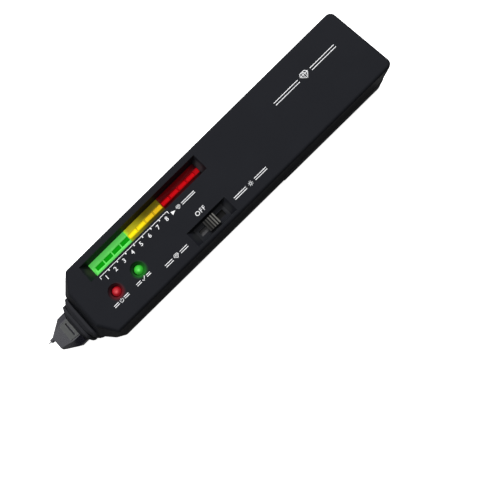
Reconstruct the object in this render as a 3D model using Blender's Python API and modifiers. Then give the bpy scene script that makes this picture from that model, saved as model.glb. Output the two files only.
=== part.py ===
"""Hand-held diamond tester, built from its separate pieces.

The tester lies on its back. +X runs from the needle tip to the butt end, +Y to the side
that carries the bar display, and +Z out of the face. The origin is on the resting plane,
under the middle of the whole length and width. Every length is in metres.
"""

import math

import bmesh
import bpy
from mathutils import Matrix, Vector

# Lengths along the tester, one after the other from the needle tip
NEEDLE_SHOW = 0.0018
BEAK_LENGTH = 0.0021
NOSE_TAPER_LENGTH = 0.0062
NOSE_STRAIGHT_LENGTH = 0.0039
RING_1_LENGTH = 0.0025
RING_2_LENGTH = 0.0030
BODY_LENGTH = 0.1485

# Casing
BODY_WIDTH = 0.0316
BODY_HEIGHT = 0.0215
PARTING_SHARE = 0.372
SIDE_WALL = 0.0018
FACE_WALL = 0.0016
EDGE_RADIUS = 0.0012
BUTT_RADIUS = 0.0026
SHOULDER_RADIUS = 0.0015
LEAST_RADIUS = 0.0003
FRONT_WIDTH = 0.0206
SHOULDER_LENGTH = 0.0048
SLOPE_START_SHARE = 0.66
SLOPE_RUN = 0.0035
TOP_FRONT_WIDTH = 0.0156
TOP_SHOULDER_LENGTH = 0.0050
TONGUE_HEIGHT = 0.0015
TONGUE_THICKNESS = 0.00075
CLIP_DEPTH = 0.0006
BULKHEAD_THICKNESS = 0.0015
BULKHEAD_SETBACK = 0.0026
LEAD_NOTCH_WIDTH = 0.0080
LEAD_NOTCH_HEIGHT = 0.0045

# Gaps between neighbours, and how far a cutter overruns what it cuts
GAP = 0.0003
SNUG_GAP = 0.00015
OVERRUN = 0.0010

# Battery door
DOOR_LENGTH_SHARE = 0.3704
DOOR_PROUD = 0.0002
DOOR_TAB_REACH = 0.0023
DOOR_TAB_WIDTH = 0.0030
DOOR_TAB_SPREAD = 0.0150
DOOR_TAB_THICKNESS = 0.0006
DOOR_TAB_ROOT = 0.0020
GROOVE_COUNT = 5
GROOVE_START = 0.0036
GROOVE_PITCH = 0.0030
GROOVE_WIDTH = 0.0007
GROOVE_DEPTH = 0.0005
GROOVE_LONGEST = 0.0145
GROOVE_SHORTEST = 0.0054

# Bar display
SCALE_START_SHARE = 0.1111
SEGMENT_PITCH_SHARE = 0.0295
SEGMENT_LENGTH_SHARE = 0.868
SEGMENTS_PER_BAR = 4
BAR_COUNT = 3
STRIP_FRONT_MARGIN = 0.0013
STRIP_REAR_MARGIN = 0.0021
DISPLAY_SIDE_DISTANCE = 0.00665
STRIP_WIDTH = 0.0058
RECESS_WIDTH = 0.0073
RECESS_RAMP = 0.0023
RECESS_DEPTH = 0.0040
TRAY_WALL = 0.0012
TRAY_FLOOR = 0.0010
SEGMENT_WIDTH = 0.00166
SEGMENT_HEIGHT = 0.0007
SEGMENT_POCKET_DEPTH = 0.0010
SEGMENT_SIDE_SHIFT = 0.0005
BAR_FLANGE = 0.0008
BAR_FLANGE_THICKNESS = 0.0022
EMITTER_LENGTH_SHARE = 0.46
EMITTER_WIDTH = 0.0012
EMITTER_HEIGHT = 0.0005
EMITTER_BASE_WIDTH = 0.0040
EMITTER_BASE_HEIGHT = 0.0004

# Round lamps in the face
POWER_LAMP_SHARE = 0.1165
READY_LAMP_SHARE = 0.1939
LAMP_SIDE_DISTANCE = 0.0119
LAMP_RADIUS = 0.0019
LAMP_TOP_DROP = 0.0002
LAMP_FLANGE_RADIUS = 0.0024
LAMP_FLANGE_THICKNESS = 0.0008
LAMP_SPACER_RADIUS = 0.0015
LAMP_SPACER_HEIGHT = 0.0017
DISH_RADIUS = 0.0031
DISH_DEPTH = 0.0013
DISH_BOSS_WALL = 0.0013
DISH_BOSS_DEPTH = 0.0040

# Slide switch
SWITCH_SHARE = 0.4081
SWITCH_SIDE_DISTANCE = 0.00525
POCKET_LENGTH_SHARE = 0.132
POCKET_WIDTH = 0.0068
POCKET_DEPTH = 0.0025
POCKET_FLOOR_WIDTH = 0.0056
POCKET_FLOOR_THICKNESS = 0.0012
POCKET_END_RAMP = 0.0026
KNOB_LENGTH_SHARE = 0.255
KNOB_END_GAP = 0.0004
KNOB_WIDTH = 0.0047
KNOB_TOP_DROP = 0.0002
KNOB_RIB_COUNT = 5
KNOB_RIB_WIDTH = 0.0005
KNOB_GROOVE_DEPTH = 0.0006
STEM_LENGTH_SHARE = 0.6
STEM_WIDTH = 0.0018
SHUTTER_WIDTH = 0.0044
SHUTTER_THICKNESS = 0.0008
SHUTTER_DROP = 0.0004
SWITCH_BODY_WIDTH = 0.0052
SWITCH_BODY_HEIGHT = 0.0034
SWITCH_BODY_END = 0.0011
SWITCH_SLOT_DEPTH = 0.0018
STEM_ENTRY = 0.0014

# Circuit board and what sits on it
BOARD_DEPTH = 0.0090
BOARD_THICKNESS = 0.0016
BOARD_FRONT_SHARE = 0.0673
BOARD_BOSS_RADIUS = 0.0023
BOARD_SCREW_RADIUS = 0.0010
BOARD_SCREW_HEAD_RADIUS = 0.0019
BOARD_SCREW_HEAD_HEIGHT = 0.0010
BOARD_SCREW_REACH = 0.0055
BOARD_SCREW_FRONT_SHARE = 0.0808
BOARD_SCREW_SIDE_DISTANCE = 0.0054
BOARD_SCREW_REAR_SETBACK = 0.0145
CHIP_SHARE = 0.2862
CHIP_LENGTH_SHARE = 0.1347
CHIP_WIDTH = 0.0064
CHIP_HEIGHT = 0.0034
CHIP_PIN_COUNT = 8
CHIP_PIN_WIDTH = 0.0006
CHIP_PIN_REACH = 0.0009
CHIP_PIN_DROP = 0.0010
CHIP_PIN_THICKNESS = 0.0010
CAPACITOR_RADIUS = 0.0025
CAPACITOR_FLOOR_GAP = 0.0020
CAPACITOR_CRIMP = 0.0003
CAPACITOR_CRIMP_DROP = 0.0014
CAPACITOR_FRONT_SHARE = 0.192
CAPACITOR_REAR_SHARE = 0.387
CAPACITOR_SIDE_DISTANCE = 0.0078

# Sounder and its holes
SOUNDER_SHARE = 0.1165
SOUNDER_RADIUS = 0.0060
SOUNDER_RIM = 0.0008
SOUNDER_MOUTH_RADIUS = 0.0012
SOUNDER_MOUTH_DEPTH = 0.0020
SOUND_HOLE_RADIUS = 0.0011
SOUND_HOLE_SPACING = 0.0052

# Screws of the casing
CASE_SCREW_FRONT_SETBACK = 0.0057
CASE_SCREW_PROBE_DISTANCE = 0.0058
CASE_SCREW_REAR_SETBACK = 0.0066
CASE_SCREW_REAR_SIDE_DISTANCE = 0.0058
CASE_BOSS_RADIUS = 0.0027
CASE_WELL_RADIUS = 0.0022
CASE_HEAD_RADIUS = 0.0017
CASE_HEAD_HEIGHT = 0.0013
CASE_HEAD_DROP = 0.0017
CASE_SHANK_RADIUS = 0.0010
CASE_SCREW_HEADROOM = 0.0064
CROSS_LENGTH = 0.0018
CROSS_WIDTH = 0.0005
CROSS_DEPTH = 0.0006

# Nose
NOSE_FRONT_WIDTH = 0.0068
NOSE_FRONT_HEIGHT_SHARE = 0.565
NOSE_FRONT_TOP_WIDTH = 0.0050
NOSE_SIDE_HEIGHT_SHARE = 0.435
NOSE_FRONT_SIDE_HEIGHT_SHARE = 0.538
NOSE_WIDTH = 0.0142
NOSE_LIFT = 0.0034
NOSE_TOP_WIDTH = 0.0086
TENON_WIDTH = 0.0100
TENON_STEP = 0.0011
TENON_RADIUS = 0.0015
FLANGE_WIDTH = 0.0132
FLANGE_THICKNESS = 0.0007
PLATE_LENGTH = 0.0040
PLATE_WIDTH = 0.0078
PLATE_FRONT_WIDTH = 0.0068
PLATE_THICKNESS = 0.0009
PLATE_PROUD = 0.0003
PLATE_SETBACK = 0.0001
PLATE_SLOT_LENGTH = 0.0058
PLATE_SLOT_WIDTH = 0.0008
PLATE_SLOT_SETBACK = 0.0014

# Ribbed collar: each ring widens like a barb and ends in a short flat band
RING_1_WIDTH = 0.0182
RING_1_LIFT = 0.0019
RING_2_WIDTH = 0.0210
RING_2_LIFT = 0.0010
COLLAR_FRONT_LIP = 0.0004
RING_GROOVE_DEPTH = 0.0006
RING_GROOVE_LENGTH = 0.0004
RING_BAND_LENGTH = 0.0011
COLLAR_CORNER_RADIUS = 0.0046

# Probe inside the nose
PROBE_Y = 0.0026
NEEDLE_RADIUS = 0.00025
NEEDLE_POINT_LENGTH = 0.0007
NEEDLE_POINT_RADIUS = 0.00006
BEAK_TIP_RADIUS = 0.00085
BEAK_ROOT_RADIUS = 0.00105
BARREL_RADIUS = 0.0016
BARREL_WALL = 0.0004
BARREL_SETBACK = 0.0030
BARREL_END_WALL = 0.0006
PLUNGER_LENGTH = 0.0060
SPRING_LENGTH = 0.0058
SPRING_WIRE_RADIUS = 0.00014
SPRING_RADIUS = 0.00072
SPRING_TURNS = 7
SPRING_POINTS_PER_TURN = 9
PLUG_LENGTH = 0.0025
PLUG_CAP_LENGTH = 0.0008

# Violet lamp in the flat front of the nose
UV_Y = -0.0014
UV_RADIUS = 0.0010
UV_LENGTH = 0.0042
UV_FLANGE_RADIUS = 0.0013
UV_FLANGE_LENGTH = 0.0008
UV_DROP = 0.0002

# Battery, its snap connector and its pad
BATTERY_SIDE_GAP = 0.0005
BATTERY_RADIUS = 0.0020
PAD_THICKNESS = 0.0013
PAD_WIDTH = 0.0200
PAD_HEADROOM = 0.00245
CONTACT_SIDE_DISTANCE = 0.00665
CONTACT_LENGTH = 0.0021
CONTACT_RADIUS = 0.0029
CONTACT_HEX_SIDES = 6
CONTACT_HEX_RADIUS = 0.0036
SNAP_SETBACK = 0.0008
SNAP_THICKNESS = 0.0040
SNAP_SIDE_STEP = 0.0005
SNAP_TOP_STEP = 0.0024
SNAP_RADIUS = 0.0025

# Wires
LEAD_RADIUS = 0.0006
FINE_LEAD_RADIUS = 0.00035
FINE_LEAD_SPREAD = 0.0012
BATTERY_LEAD_SPREAD = 0.0030
LEAD_BOARD_REACH = 0.0030
NOSE_LEAD_BEND = 0.0030
BATTERY_LEAD_BEND = 0.0014
BATTERY_LEAD_RISE_SHARE = 0.25

# Facets and small numbers of the geometry
ROUND_SIDES = 24
SMALL_ROUND_SIDES = 16
CORNER_STEPS = 3
BUTT_STEPS = 6
EDGE_STEPS = 4
DOME_STEPS = 5
NOSE_LEAD_STEPS = 6
BATTERY_LEAD_STEPS = 5
WIRE_BEVEL_STEPS = 1
MERGE_DISTANCE = 0.000005
SHARP_ANGLE = math.radians(32)
STRAIGHT = 0.9
MILLIMETRE = 0.001

# Places along X
OVERALL_LENGTH = (
    NEEDLE_SHOW + BEAK_LENGTH + NOSE_TAPER_LENGTH + NOSE_STRAIGHT_LENGTH
    + RING_1_LENGTH + RING_2_LENGTH + BODY_LENGTH
)
TIP_X = -OVERALL_LENGTH / 2
BEAK_X = TIP_X + NEEDLE_SHOW
NOSE_X = BEAK_X + BEAK_LENGTH
NOSE_FULL_X = NOSE_X + NOSE_TAPER_LENGTH
COLLAR_X = NOSE_FULL_X + NOSE_STRAIGHT_LENGTH
RING_2_X = COLLAR_X + RING_1_LENGTH
FRONT_X = RING_2_X + RING_2_LENGTH
BUTT_X = FRONT_X + BODY_LENGTH
SHELL_BUTT_X = BUTT_X - DOOR_PROUD
SHELL_WIDTH = BODY_WIDTH - 2 * DOOR_PROUD
DOOR_X = BUTT_X - BODY_LENGTH * DOOR_LENGTH_SHARE
BULKHEAD_REAR_X = DOOR_X - BULKHEAD_SETBACK
BULKHEAD_X = BULKHEAD_REAR_X - BULKHEAD_THICKNESS

# Levels along Z
PARTING_HEIGHT = BODY_HEIGHT * PARTING_SHARE
SLOPE_START_HEIGHT = BODY_HEIGHT * SLOPE_START_SHARE
CEILING = BODY_HEIGHT - FACE_WALL
AXIS_Z = PARTING_HEIGHT
FRONT_SHELL_LOW = PARTING_HEIGHT + GAP / 2
REAR_SHELL_TOP = PARTING_HEIGHT - GAP / 2
TONGUE_LOW = REAR_SHELL_TOP - TONGUE_HEIGHT
BOARD_TOP = BODY_HEIGHT - BOARD_DEPTH
BOARD_LOW = BOARD_TOP - BOARD_THICKNESS
BOARD_SCREW_TOP = BOARD_TOP + BOARD_SCREW_REACH
CASE_SCREW_TOP = CEILING - CASE_SCREW_HEADROOM
DISH_BOSS_LOW = BODY_HEIGHT - DISH_BOSS_DEPTH
STRIP_TOP = BODY_HEIGHT - RECESS_DEPTH
TRAY_LOW = STRIP_TOP - TRAY_FLOOR
SEGMENT_LOW = STRIP_TOP - SEGMENT_POCKET_DEPTH + SNUG_GAP
POCKET_FLOOR = BODY_HEIGHT - POCKET_DEPTH
POCKET_TRAY_LOW = POCKET_FLOOR - POCKET_FLOOR_THICKNESS
SWITCH_BODY_LOW = BOARD_TOP + GAP
SWITCH_BODY_TOP = SWITCH_BODY_LOW + SWITCH_BODY_HEIGHT
NOSE_HEIGHT = 2 * (AXIS_Z - NOSE_LIFT)
TENON_HEIGHT = NOSE_HEIGHT - 2 * TENON_STEP
RING_1_HEIGHT = 2 * (AXIS_Z - RING_1_LIFT)
RING_2_HEIGHT = 2 * (AXIS_Z - RING_2_LIFT)
PLATE_TOP = AXIS_Z + NOSE_HEIGHT / 2 + PLATE_PROUD
PLATE_LOW = PLATE_TOP - PLATE_THICKNESS

# Places across the tester, measured from its sides
SIDE_Y = SHELL_WIDTH / 2
DISPLAY_Y = SIDE_Y - DISPLAY_SIDE_DISTANCE
SEGMENT_Y = DISPLAY_Y - SEGMENT_SIDE_SHIFT
LAMP_Y = LAMP_SIDE_DISTANCE - SIDE_Y
SWITCH_Y = SWITCH_SIDE_DISTANCE - SIDE_Y
BOARD_SCREW_Y = SIDE_Y - BOARD_SCREW_SIDE_DISTANCE
CAPACITOR_Y = SIDE_Y - CAPACITOR_SIDE_DISTANCE

# Places and sizes that several pieces share
DISPLAY_START_X = FRONT_X + BODY_LENGTH * SCALE_START_SHARE
SEGMENT_PITCH = BODY_LENGTH * SEGMENT_PITCH_SHARE
SEGMENT_LENGTH = SEGMENT_PITCH * SEGMENT_LENGTH_SHARE
EMITTER_LENGTH = SEGMENT_PITCH * EMITTER_LENGTH_SHARE
BAR_LENGTH = SEGMENTS_PER_BAR * SEGMENT_PITCH
STRIP_FRONT_X = DISPLAY_START_X - STRIP_FRONT_MARGIN
STRIP_REAR_X = DISPLAY_START_X + BAR_COUNT * BAR_LENGTH + STRIP_REAR_MARGIN
STRIP_LENGTH = STRIP_REAR_X - STRIP_FRONT_X
STRIP_MIDDLE_X = (STRIP_FRONT_X + STRIP_REAR_X) / 2
SWITCH_CENTRE_X = FRONT_X + BODY_LENGTH * SWITCH_SHARE
POCKET_LENGTH = BODY_LENGTH * POCKET_LENGTH_SHARE
POCKET_FLOOR_LENGTH = POCKET_LENGTH - 2 * POCKET_END_RAMP
KNOB_LENGTH = POCKET_LENGTH * KNOB_LENGTH_SHARE
STEM_LENGTH = KNOB_LENGTH * STEM_LENGTH_SHARE
SWITCH_STEP = (POCKET_FLOOR_LENGTH - KNOB_LENGTH) / 2 - KNOB_END_GAP
SLOT_LENGTH = STEM_LENGTH + 2 * (SWITCH_STEP + GAP)
SNAP_FRONT_X = DOOR_X + SNAP_SETBACK
SNAP_REAR_X = SNAP_FRONT_X + SNAP_THICKNESS
BATTERY_FRONT_X = SNAP_REAR_X + GAP
BATTERY_REAR_X = SHELL_BUTT_X - SIDE_WALL - PAD_THICKNESS - 2 * GAP
BATTERY_LOW = FACE_WALL + DOOR_TAB_THICKNESS + 2 * GAP
BATTERY_HEIGHT = CEILING - GAP - BATTERY_LOW
BATTERY_WIDTH = SHELL_WIDTH - 2 * (SIDE_WALL + BATTERY_SIDE_GAP)
BATTERY_MID_Z = BATTERY_LOW + BATTERY_HEIGHT / 2
SNAP_WIDTH = BATTERY_WIDTH - 2 * SNAP_SIDE_STEP
CONTACT_Y = BATTERY_WIDTH / 2 - CONTACT_SIDE_DISTANCE
SNAP_HEIGHT = BATTERY_HEIGHT - 2 * SNAP_TOP_STEP
BARREL_X = NOSE_X + BARREL_SETBACK
PLUNGER_X = BARREL_X + BARREL_END_WALL + GAP
PLUNGER_REAR_X = PLUNGER_X + PLUNGER_LENGTH
SPRING_X = PLUNGER_REAR_X + GAP
SPRING_REAR_X = SPRING_X + SPRING_LENGTH
PLUG_X = SPRING_REAR_X + GAP
PLUG_REAR_X = PLUG_X + PLUG_LENGTH
UV_FLANGE_X = NOSE_X + UV_DROP + UV_LENGTH - UV_FLANGE_LENGTH
PLATE_REAR_X = COLLAR_X - GAP - PLATE_SETBACK
PLATE_X = PLATE_REAR_X - PLATE_LENGTH
FLANGE_X = FRONT_X + SIDE_WALL + GAP
FLANGE_REAR_X = FLANGE_X + FLANGE_THICKNESS
BOARD_FRONT_X = FRONT_X + BODY_LENGTH * BOARD_FRONT_SHARE
SOUNDER_X = FRONT_X + BODY_LENGTH * SOUNDER_SHARE
CHIP_X = FRONT_X + BODY_LENGTH * CHIP_SHARE
CHIP_LENGTH = BODY_LENGTH * CHIP_LENGTH_SHARE
BOARD_REAR_X = BULKHEAD_X - GAP
CASE_SCREW_PLACES = (
    (FRONT_X + CASE_SCREW_FRONT_SETBACK, PROBE_Y + CASE_SCREW_PROBE_DISTANCE),
    (DOOR_X - CASE_SCREW_REAR_SETBACK, CASE_SCREW_REAR_SIDE_DISTANCE - SIDE_Y),
)
BOARD_SCREW_PLACES = (
    (FRONT_X + BODY_LENGTH * BOARD_SCREW_FRONT_SHARE, -BOARD_SCREW_Y),
    (DOOR_X - BOARD_SCREW_REAR_SETBACK, -BOARD_SCREW_Y),
    (DOOR_X - BOARD_SCREW_REAR_SETBACK, BOARD_SCREW_Y),
)
CAPACITOR_PLACES = {
    "capacitor_front": (FRONT_X + BODY_LENGTH * CAPACITOR_FRONT_SHARE, CAPACITOR_Y),
    "capacitor_rear": (FRONT_X + BODY_LENGTH * CAPACITOR_REAR_SHARE, -CAPACITOR_Y),
}
LAMP_PLACES = {
    "power_lamp": FRONT_X + BODY_LENGTH * POWER_LAMP_SHARE,
    "ready_lamp": FRONT_X + BODY_LENGTH * READY_LAMP_SHARE,
}

PARTS = bpy.data.collections.new("diamond_tester")
TOOLS = bpy.data.collections.new("cutters")


def clear_scene():
    """Remove every object and hang the two collections in the scene."""
    for thing in list(bpy.data.objects):
        bpy.data.objects.remove(thing, do_unlink=True)
    for group in (PARTS, TOOLS):
        bpy.context.scene.collection.children.link(group)


def finish(name, colour, roughness, metallic=0.0):
    """Return a plain material with its colour, roughness and metallic value."""
    material = bpy.data.materials.new(name)
    material.use_nodes = True
    shader = material.node_tree.nodes["Principled BSDF"]
    shader.inputs["Base Color"].default_value = (*colour, 1.0)
    shader.inputs["Roughness"].default_value = roughness
    shader.inputs["Metallic"].default_value = metallic
    return material


# Shapes added to a mesh under construction

def add_box(shape, low, high, radius=0.0, axis=0):
    """Add a box between two opposite corners, with its edges along one axis rounded."""
    low = Vector(low)
    high = Vector(high)
    place = Matrix.Translation((low + high) / 2) @ Matrix.Diagonal((*(high - low), 1.0))
    made = bmesh.ops.create_cube(shape, size=1.0, matrix=place)
    if not radius:
        return
    edges = {edge for vert in made["verts"] for edge in vert.link_edges}
    along = []
    for edge in edges:
        start, end = (vert.co for vert in edge.verts)
        if abs((end - start).normalized()[axis]) > STRAIGHT:
            along.append(edge)
    bmesh.ops.bevel(shape, geom=along, offset=radius, segments=CORNER_STEPS, profile=0.5, affect="EDGES")


def add_centred_box(shape, centre, size, low, high, radius=0.0, axis=2):
    """Add a box about a centre in plan, between two heights."""
    half = Vector(size) / 2
    add_box(shape, (centre[0] - half.x, centre[1] - half.y, low),
            (centre[0] + half.x, centre[1] + half.y, high), radius, axis)


def add_post(shape, place, low, high, radius, top_radius=None, sides=ROUND_SIDES):
    """Add an upright round post, or a cone frustum, between two heights."""
    bmesh.ops.create_cone(
        shape,
        cap_ends=True,
        segments=sides,
        radius1=radius,
        radius2=radius if top_radius is None else top_radius,
        depth=high - low,
        matrix=Matrix.Translation((place[0], place[1], (low + high) / 2)),
    )


def add_stud(shape, y, z, front, rear, radius, sides=ROUND_SIDES):
    """Add a round stud that runs along the tester."""
    turn = Vector((1.0, 0.0, 0.0)).to_track_quat("Z", "Y").to_matrix().to_4x4()
    bmesh.ops.create_cone(
        shape,
        cap_ends=True,
        segments=sides,
        radius1=radius,
        radius2=radius,
        depth=rear - front,
        matrix=Matrix.Translation(((front + rear) / 2, y, z)) @ turn,
    )


def add_loft(shape, rings):
    """Join rings of equally many points with walls and close both ends."""
    loops = [[shape.verts.new(point) for point in ring] for ring in rings]
    walls = []
    for near, far in zip(loops, loops[1:]):
        count = len(near)
        for index in range(count):
            after = (index + 1) % count
            walls.append(shape.faces.new((near[index], near[after], far[after], far[index])))
    shape.faces.new(list(reversed(loops[0])))
    shape.faces.new(loops[-1])
    bmesh.ops.triangulate(shape, faces=walls)


def blend(start, end, share):
    """Return the value at a share of the way from start to end."""
    return start + (end - start) * share


def round_corner(before, corner, after, radius, steps):
    """Return the points of an arc that rounds one corner of an outline."""
    inward = (before - corner).normalized()
    outward = (after - corner).normalized()
    half = inward.angle(outward) / 2
    centre = corner + (inward + outward).normalized() * (radius / math.sin(half))
    first = corner + inward * (radius / math.tan(half)) - centre
    last = corner + outward * (radius / math.tan(half)) - centre
    sweep = math.atan2(first.x * last.y - first.y * last.x, first.dot(last))
    return [centre + Matrix.Rotation(sweep * step / steps, 2) @ first for step in range(steps + 1)]


def inset_outline(corners, depth):
    """Move each side of a convex outline inwards and return its new corners."""
    moved = []
    for index, corner in enumerate(corners):
        before = (corner - corners[index - 1]).normalized()
        after = (corners[(index + 1) % len(corners)] - corner).normalized()
        bisector = (before.orthogonal() + after.orthogonal()).normalized()
        moved.append(corner + bisector * (depth / bisector.dot(before.orthogonal())))
    return moved


def casing_ring(level, inset):
    """Return the casing's plan outline at one height, moved inwards by an inset."""
    share = (level - SLOPE_START_HEIGHT) / (BODY_HEIGHT - SLOPE_START_HEIGHT)
    share = min(max(share, 0.0), 1.0)
    front = FRONT_X + SLOPE_RUN * share
    shoulder = front + blend(SHOULDER_LENGTH, TOP_SHOULDER_LENGTH, share)
    narrow = blend(FRONT_WIDTH, TOP_FRONT_WIDTH, share) / 2
    half = (
        (front, narrow, SHOULDER_RADIUS, CORNER_STEPS),
        (shoulder, SIDE_Y, SHOULDER_RADIUS, CORNER_STEPS),
        (SHELL_BUTT_X, SIDE_Y, BUTT_RADIUS, BUTT_STEPS),
    )
    corners = [Vector((x, -y)) for x, y, radius, steps in half]
    corners += [Vector((x, y)) for x, y, radius, steps in reversed(half)]
    corners = inset_outline(corners, inset)
    rounding = [entry[2:] for entry in half] + [entry[2:] for entry in reversed(half)]
    points = []
    for index, (radius, steps) in enumerate(rounding):
        after = corners[(index + 1) % len(corners)]
        radius = max(radius - inset, LEAST_RADIUS)
        points += round_corner(corners[index - 1], corners[index], after, radius, steps)
    return [(point.x, point.y, level) for point in points]


def rim_arc(radius):
    """Return the drop and the inset of each point of a rounded rim, from its face outwards."""
    angles = [math.pi / 2 * step / EDGE_STEPS for step in range(EDGE_STEPS + 1)]
    return [(radius * (1 - math.cos(angle)), radius * (1 - math.sin(angle))) for angle in angles]


def casing_form(inset, low, high, low_radius=0.0, high_radius=0.0):
    """Return the solid form of the casing between two heights, with rounded rims."""
    levels = [(low + rise, more) for rise, more in rim_arc(low_radius)] if low_radius else [(low, 0.0)]
    if low < SLOPE_START_HEIGHT < high:
        levels.append((SLOPE_START_HEIGHT, 0.0))
    if high_radius:
        levels += [(high - drop, more) for drop, more in reversed(rim_arc(high_radius))]
    else:
        levels.append((high, 0.0))
    form = bmesh.new()
    add_loft(form, [casing_ring(level, inset + more) for level, more in levels])
    return form


def rounded_section(x, width, height, radius):
    """Return a rounded rectangle across the nose axis at one place along X."""
    corners = [Vector((a * width / 2, b * height / 2)) for a, b in ((-1, -1), (1, -1), (1, 1), (-1, 1))]
    points = []
    for index, corner in enumerate(corners):
        after = corners[(index + 1) % len(corners)]
        points += round_corner(corners[index - 1], corner, after, radius, CORNER_STEPS)
    return [(x, point.x, AXIS_Z + point.y) for point in points]


def nose_section(x, width, height, top_width, side_height):
    """Return the eight-sided section of the nose at one place along X."""
    wide, tall, top, side = width / 2, height / 2, top_width / 2, side_height / 2
    outline = [
        (-wide, -side), (-top, -tall), (top, -tall), (wide, -side),
        (wide, side), (top, tall), (-top, tall), (-wide, side),
    ]
    return [(x, y, AXIS_Z + z) for y, z in outline]


# Objects

def mesh_object(name, shape, origin=(0.0, 0.0, 0.0)):
    """Turn a mesh under construction into an object with outward faces."""
    origin = Vector(origin)
    bmesh.ops.translate(shape, verts=shape.verts, vec=-origin)
    bmesh.ops.recalc_face_normals(shape, faces=shape.faces)
    mesh = bpy.data.meshes.new(name)
    shape.to_mesh(mesh)
    shape.free()
    mesh.shade_smooth()
    mesh.set_sharp_from_angle(angle=SHARP_ANGLE)
    thing = bpy.data.objects.new(name, mesh)
    thing.location = origin
    return thing


def turned_object(name, profile, place, along=False, sides=ROUND_SIDES):
    """Spin radius and height pairs, given top to bottom, about an upright axis or along X."""
    mesh = bpy.data.meshes.new(name)
    edges = [(index, index + 1) for index in range(len(profile) - 1)]
    mesh.from_pydata([(radius, 0.0, height) for radius, height in profile], edges, [])
    thing = bpy.data.objects.new(name, mesh)
    thing.location = place
    if along:
        thing.rotation_euler.y = math.pi / 2
    spin = thing.modifiers.new("spin", "SCREW")
    spin.axis = "Z"
    spin.angle = 2 * math.pi
    spin.steps = sides
    spin.render_steps = sides
    spin.use_merge_vertices = True
    spin.merge_threshold = MERGE_DISTANCE
    spin.use_smooth_shade = True
    return thing


def as_piece(thing, material):
    """Place an object among the pieces with its material."""
    thing.data.materials.append(material)
    PARTS.objects.link(thing)
    return thing


def make_piece(name, shape, material, origin=(0.0, 0.0, 0.0)):
    """Make one named piece with its material and its origin at a given point."""
    return as_piece(mesh_object(name, shape, origin), material)


def copy_piece(piece, name, offset):
    """Make another piece of the same mesh, moved by an offset."""
    twin = bpy.data.objects.new(name, piece.data)
    twin.location = piece.location + Vector(offset)
    PARTS.objects.link(twin)
    return twin


def use_tool(piece, tool, operation):
    """Let a tool object change a piece, and keep it out of the pictures."""
    tool.hide_render = True
    tool.display_type = "WIRE"
    TOOLS.objects.link(tool)
    step = piece.modifiers.new(tool.name, "BOOLEAN")
    step.operation = operation
    step.object = tool
    step.solver = "EXACT"
    step.use_self = True
    return tool


def cut(piece, name, shape):
    """Cut a tool shape out of a piece."""
    return use_tool(piece, mesh_object(name, shape), "DIFFERENCE")


def join(piece, name, shape):
    """Join a tool shape to a piece."""
    return use_tool(piece, mesh_object(name, shape), "UNION")


def wire_piece(name, route, radius, material):
    """Make a round wire along a route, with closed ends."""
    curve = bpy.data.curves.new(name, "CURVE")
    curve.dimensions = "3D"
    curve.bevel_depth = radius
    curve.bevel_resolution = WIRE_BEVEL_STEPS
    curve.use_fill_caps = True
    spline = curve.splines.new("POLY")
    spline.points.add(len(route) - 1)
    for point, place in zip(spline.points, route):
        point.co = (*place, 1.0)
    return as_piece(bpy.data.objects.new(name, curve), material)


def smooth_route(points, steps):
    """Return points along a smooth curve through the given ones."""
    places = [Vector(point) for point in points]
    places = [places[0]] + places + [places[-1]]
    route = []
    for before, start, end, after in zip(places, places[1:], places[2:], places[3:]):
        for step in range(steps):
            t = step / steps
            bend = 2 * before - 5 * start + 4 * end - after
            twist = 3 * start - before - 3 * end + after
            route.append((2 * start + (end - before) * t + bend * t ** 2 + twist * t ** 3) / 2)
    route.append(places[-1])
    return route


# Casing

def nose_opening(rear):
    """Return the cutter for the opening that holds the tenon of the nose."""
    opening = bmesh.new()
    width = TENON_WIDTH / 2 + GAP
    height = TENON_HEIGHT / 2 + GAP
    add_box(opening, (COLLAR_X - OVERRUN, -width, AXIS_Z - height),
            (rear + OVERRUN, width, AXIS_Z + height), TENON_RADIUS + GAP)
    return opening


def sloped_pocket(centre, top_size, floor_size, floor_z):
    """Return a cutter for a sunk pocket in the face with sloping walls."""
    pocket = bmesh.new()
    share = (BODY_HEIGHT + OVERRUN - floor_z) / (BODY_HEIGHT - floor_z)
    spread = [blend(floor, top, share) for floor, top in zip(floor_size, top_size)]
    corners = ((-1, -1), (1, -1), (1, 1), (-1, 1))
    add_loft(pocket, [
        [(centre[0] + a * length / 2, centre[1] + b * width / 2, level) for a, b in corners]
        for (length, width), level in ((floor_size, floor_z), (spread, BODY_HEIGHT + OVERRUN))
    ])
    return pocket


def add_face_structure(shape):
    """Add what hangs under the face: display tray, switch tray, lamp and screw bosses."""
    top = CEILING + CLIP_DEPTH
    tray = (STRIP_LENGTH + 2 * (RECESS_RAMP + TRAY_WALL), RECESS_WIDTH + 2 * TRAY_WALL)
    add_centred_box(shape, (STRIP_MIDDLE_X, DISPLAY_Y), tray, TRAY_LOW, top)
    switch_half = POCKET_LENGTH / 2 + TRAY_WALL
    wall_y = SIDE_WALL - CLIP_DEPTH - SIDE_Y
    inner_y = SWITCH_Y + POCKET_WIDTH / 2 + TRAY_WALL
    add_box(shape, (SWITCH_CENTRE_X - switch_half, wall_y, POCKET_TRAY_LOW),
            (SWITCH_CENTRE_X + switch_half, inner_y, top))
    for x in LAMP_PLACES.values():
        add_post(shape, (x, LAMP_Y), DISH_BOSS_LOW, top, LAMP_RADIUS + GAP + DISH_BOSS_WALL)
    for place in BOARD_SCREW_PLACES:
        add_post(shape, place, BOARD_TOP + GAP, top, BOARD_BOSS_RADIUS, sides=SMALL_ROUND_SIDES)
    for place in CASE_SCREW_PLACES:
        add_post(shape, place, FRONT_SHELL_LOW, top, CASE_BOSS_RADIUS)


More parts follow.
